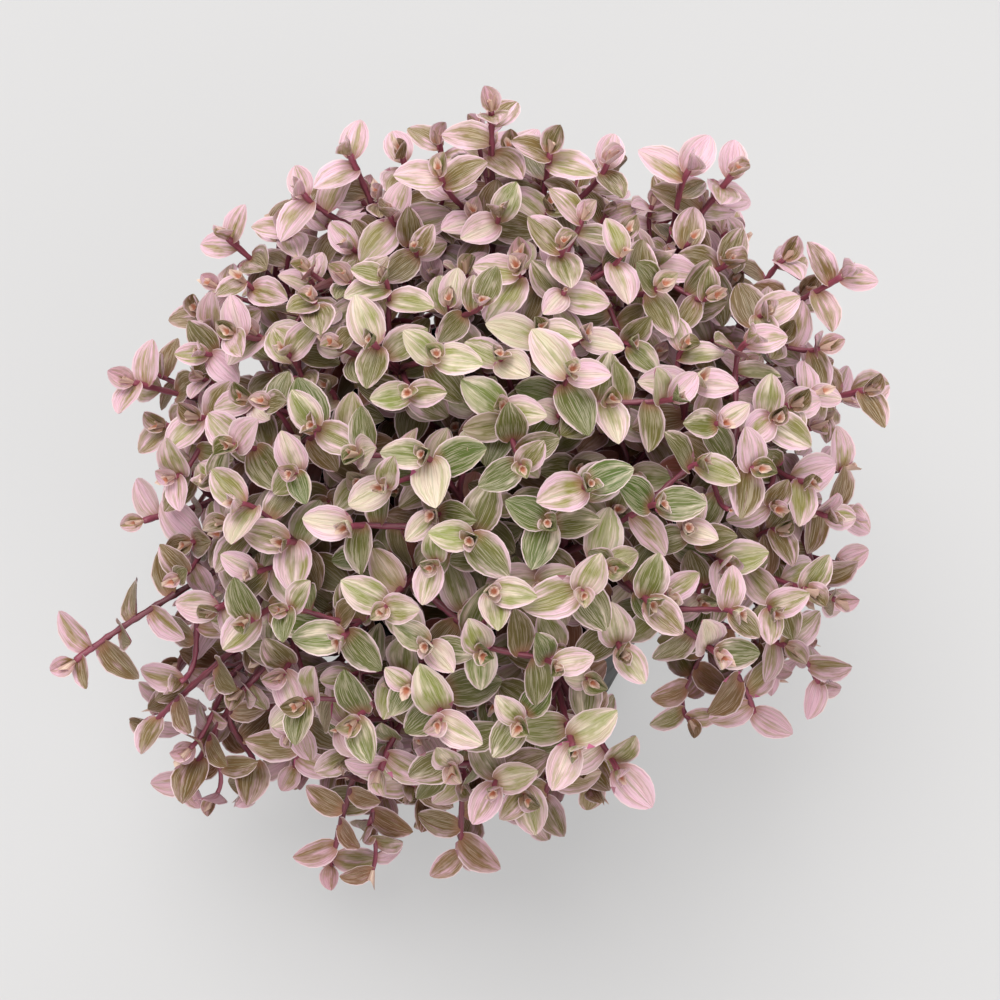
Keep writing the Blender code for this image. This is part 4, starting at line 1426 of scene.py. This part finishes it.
def add_lights(scene):
    """A plain pale world, and soft round lights that face the plant."""
    world = bpy.data.worlds.new("studio")
    world.use_nodes = True
    background = world.node_tree.nodes["Background"]
    background.inputs["Color"].default_value = (*WORLD_COLOUR, 1)
    background.inputs["Strength"].default_value = WORLD_STRENGTH
    scene.world = world
    for name, place, size, power in LAMPS:
        light = bpy.data.lights.new(name, "AREA")
        light.shape = "DISK"
        light.size = size
        light.energy = power
        lamp = bpy.data.objects.new(name, light)
        lamp.location = place
        lamp.rotation_euler = (Vector(LAMP_AIM) - Vector(place)).to_track_quat("-Z", "Y").to_euler()
        scene.collection.objects.link(lamp)


def add_camera(scene, settings):
    """A camera that looks down at the crown from the front."""
    lens = bpy.data.cameras.new("camera")
    lens.sensor_width = SENSOR
    lens.lens = SENSOR / 2 / math.tan(settings.view_width / 2)
    lens.clip_start = 0.01
    camera = bpy.data.objects.new("camera", lens)
    down = settings.elevation
    away = Vector((0, -math.cos(down), math.sin(down)))
    camera.location = Vector((0, 0, settings.aim_height)) + settings.distance * away
    camera.rotation_euler = (math.pi / 2 - down - settings.tilt, 0, 0)
    scene.collection.objects.link(camera)
    scene.camera = camera


class VINE_OT_stage(bpy.types.Operator):
    """Add the floor, the soft lights and the camera"""

    bl_idname = "turtle_vine.stage"
    bl_label = "Stage"

    def execute(self, context):
        settings = context.scene.vine_stage
        add_floor(context.scene, settings)
        add_lights(context.scene)
        add_camera(context.scene, settings)
        context.scene.view_settings.view_transform = "Standard"
        return {"FINISHED"}


class VINE_PT_panel(bpy.types.Panel):
    """Buttons and settings for the turtle vine"""

    bl_label = "Turtle vine"
    bl_idname = "VINE_PT_panel"
    bl_space_type = "VIEW_3D"
    bl_region_type = "UI"
    bl_category = "Turtle vine"

    def draw(self, context):
        for operator in OPERATORS:
            self.layout.operator(operator.bl_idname)
        for name, group in GROUPS.items():
            settings = getattr(context.scene, name)
            box = self.layout.box()
            for field in group.__annotations__:
                box.prop(settings, field)


GROUPS = {
    "vine_leaves": VineLeaves,
    "vine_stems": VineStems,
    "vine_pot": VinePot,
    "vine_soil": VineSoil,
    "vine_stage": VineStage,
}
OPERATORS = (VINE_OT_sprays, VINE_OT_pot, VINE_OT_soil, VINE_OT_stage)


def register():
    for made in (*GROUPS.values(), *OPERATORS, VINE_PT_panel):
        bpy.utils.register_class(made)
    for name, group in GROUPS.items():
        setattr(bpy.types.Scene, name, PointerProperty(type=group))


def unregister():
    for name in GROUPS:
        delattr(bpy.types.Scene, name)
    for made in (VINE_PT_panel, *reversed(OPERATORS), *reversed(GROUPS.values())):
        bpy.utils.unregister_class(made)


def main():
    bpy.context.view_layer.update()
    register()
    bpy.ops.turtle_vine.sprays()
    bpy.ops.turtle_vine.pot()
    bpy.ops.turtle_vine.soil()
    bpy.ops.turtle_vine.stage()
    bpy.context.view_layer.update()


if __name__ == "__main__":
    main()
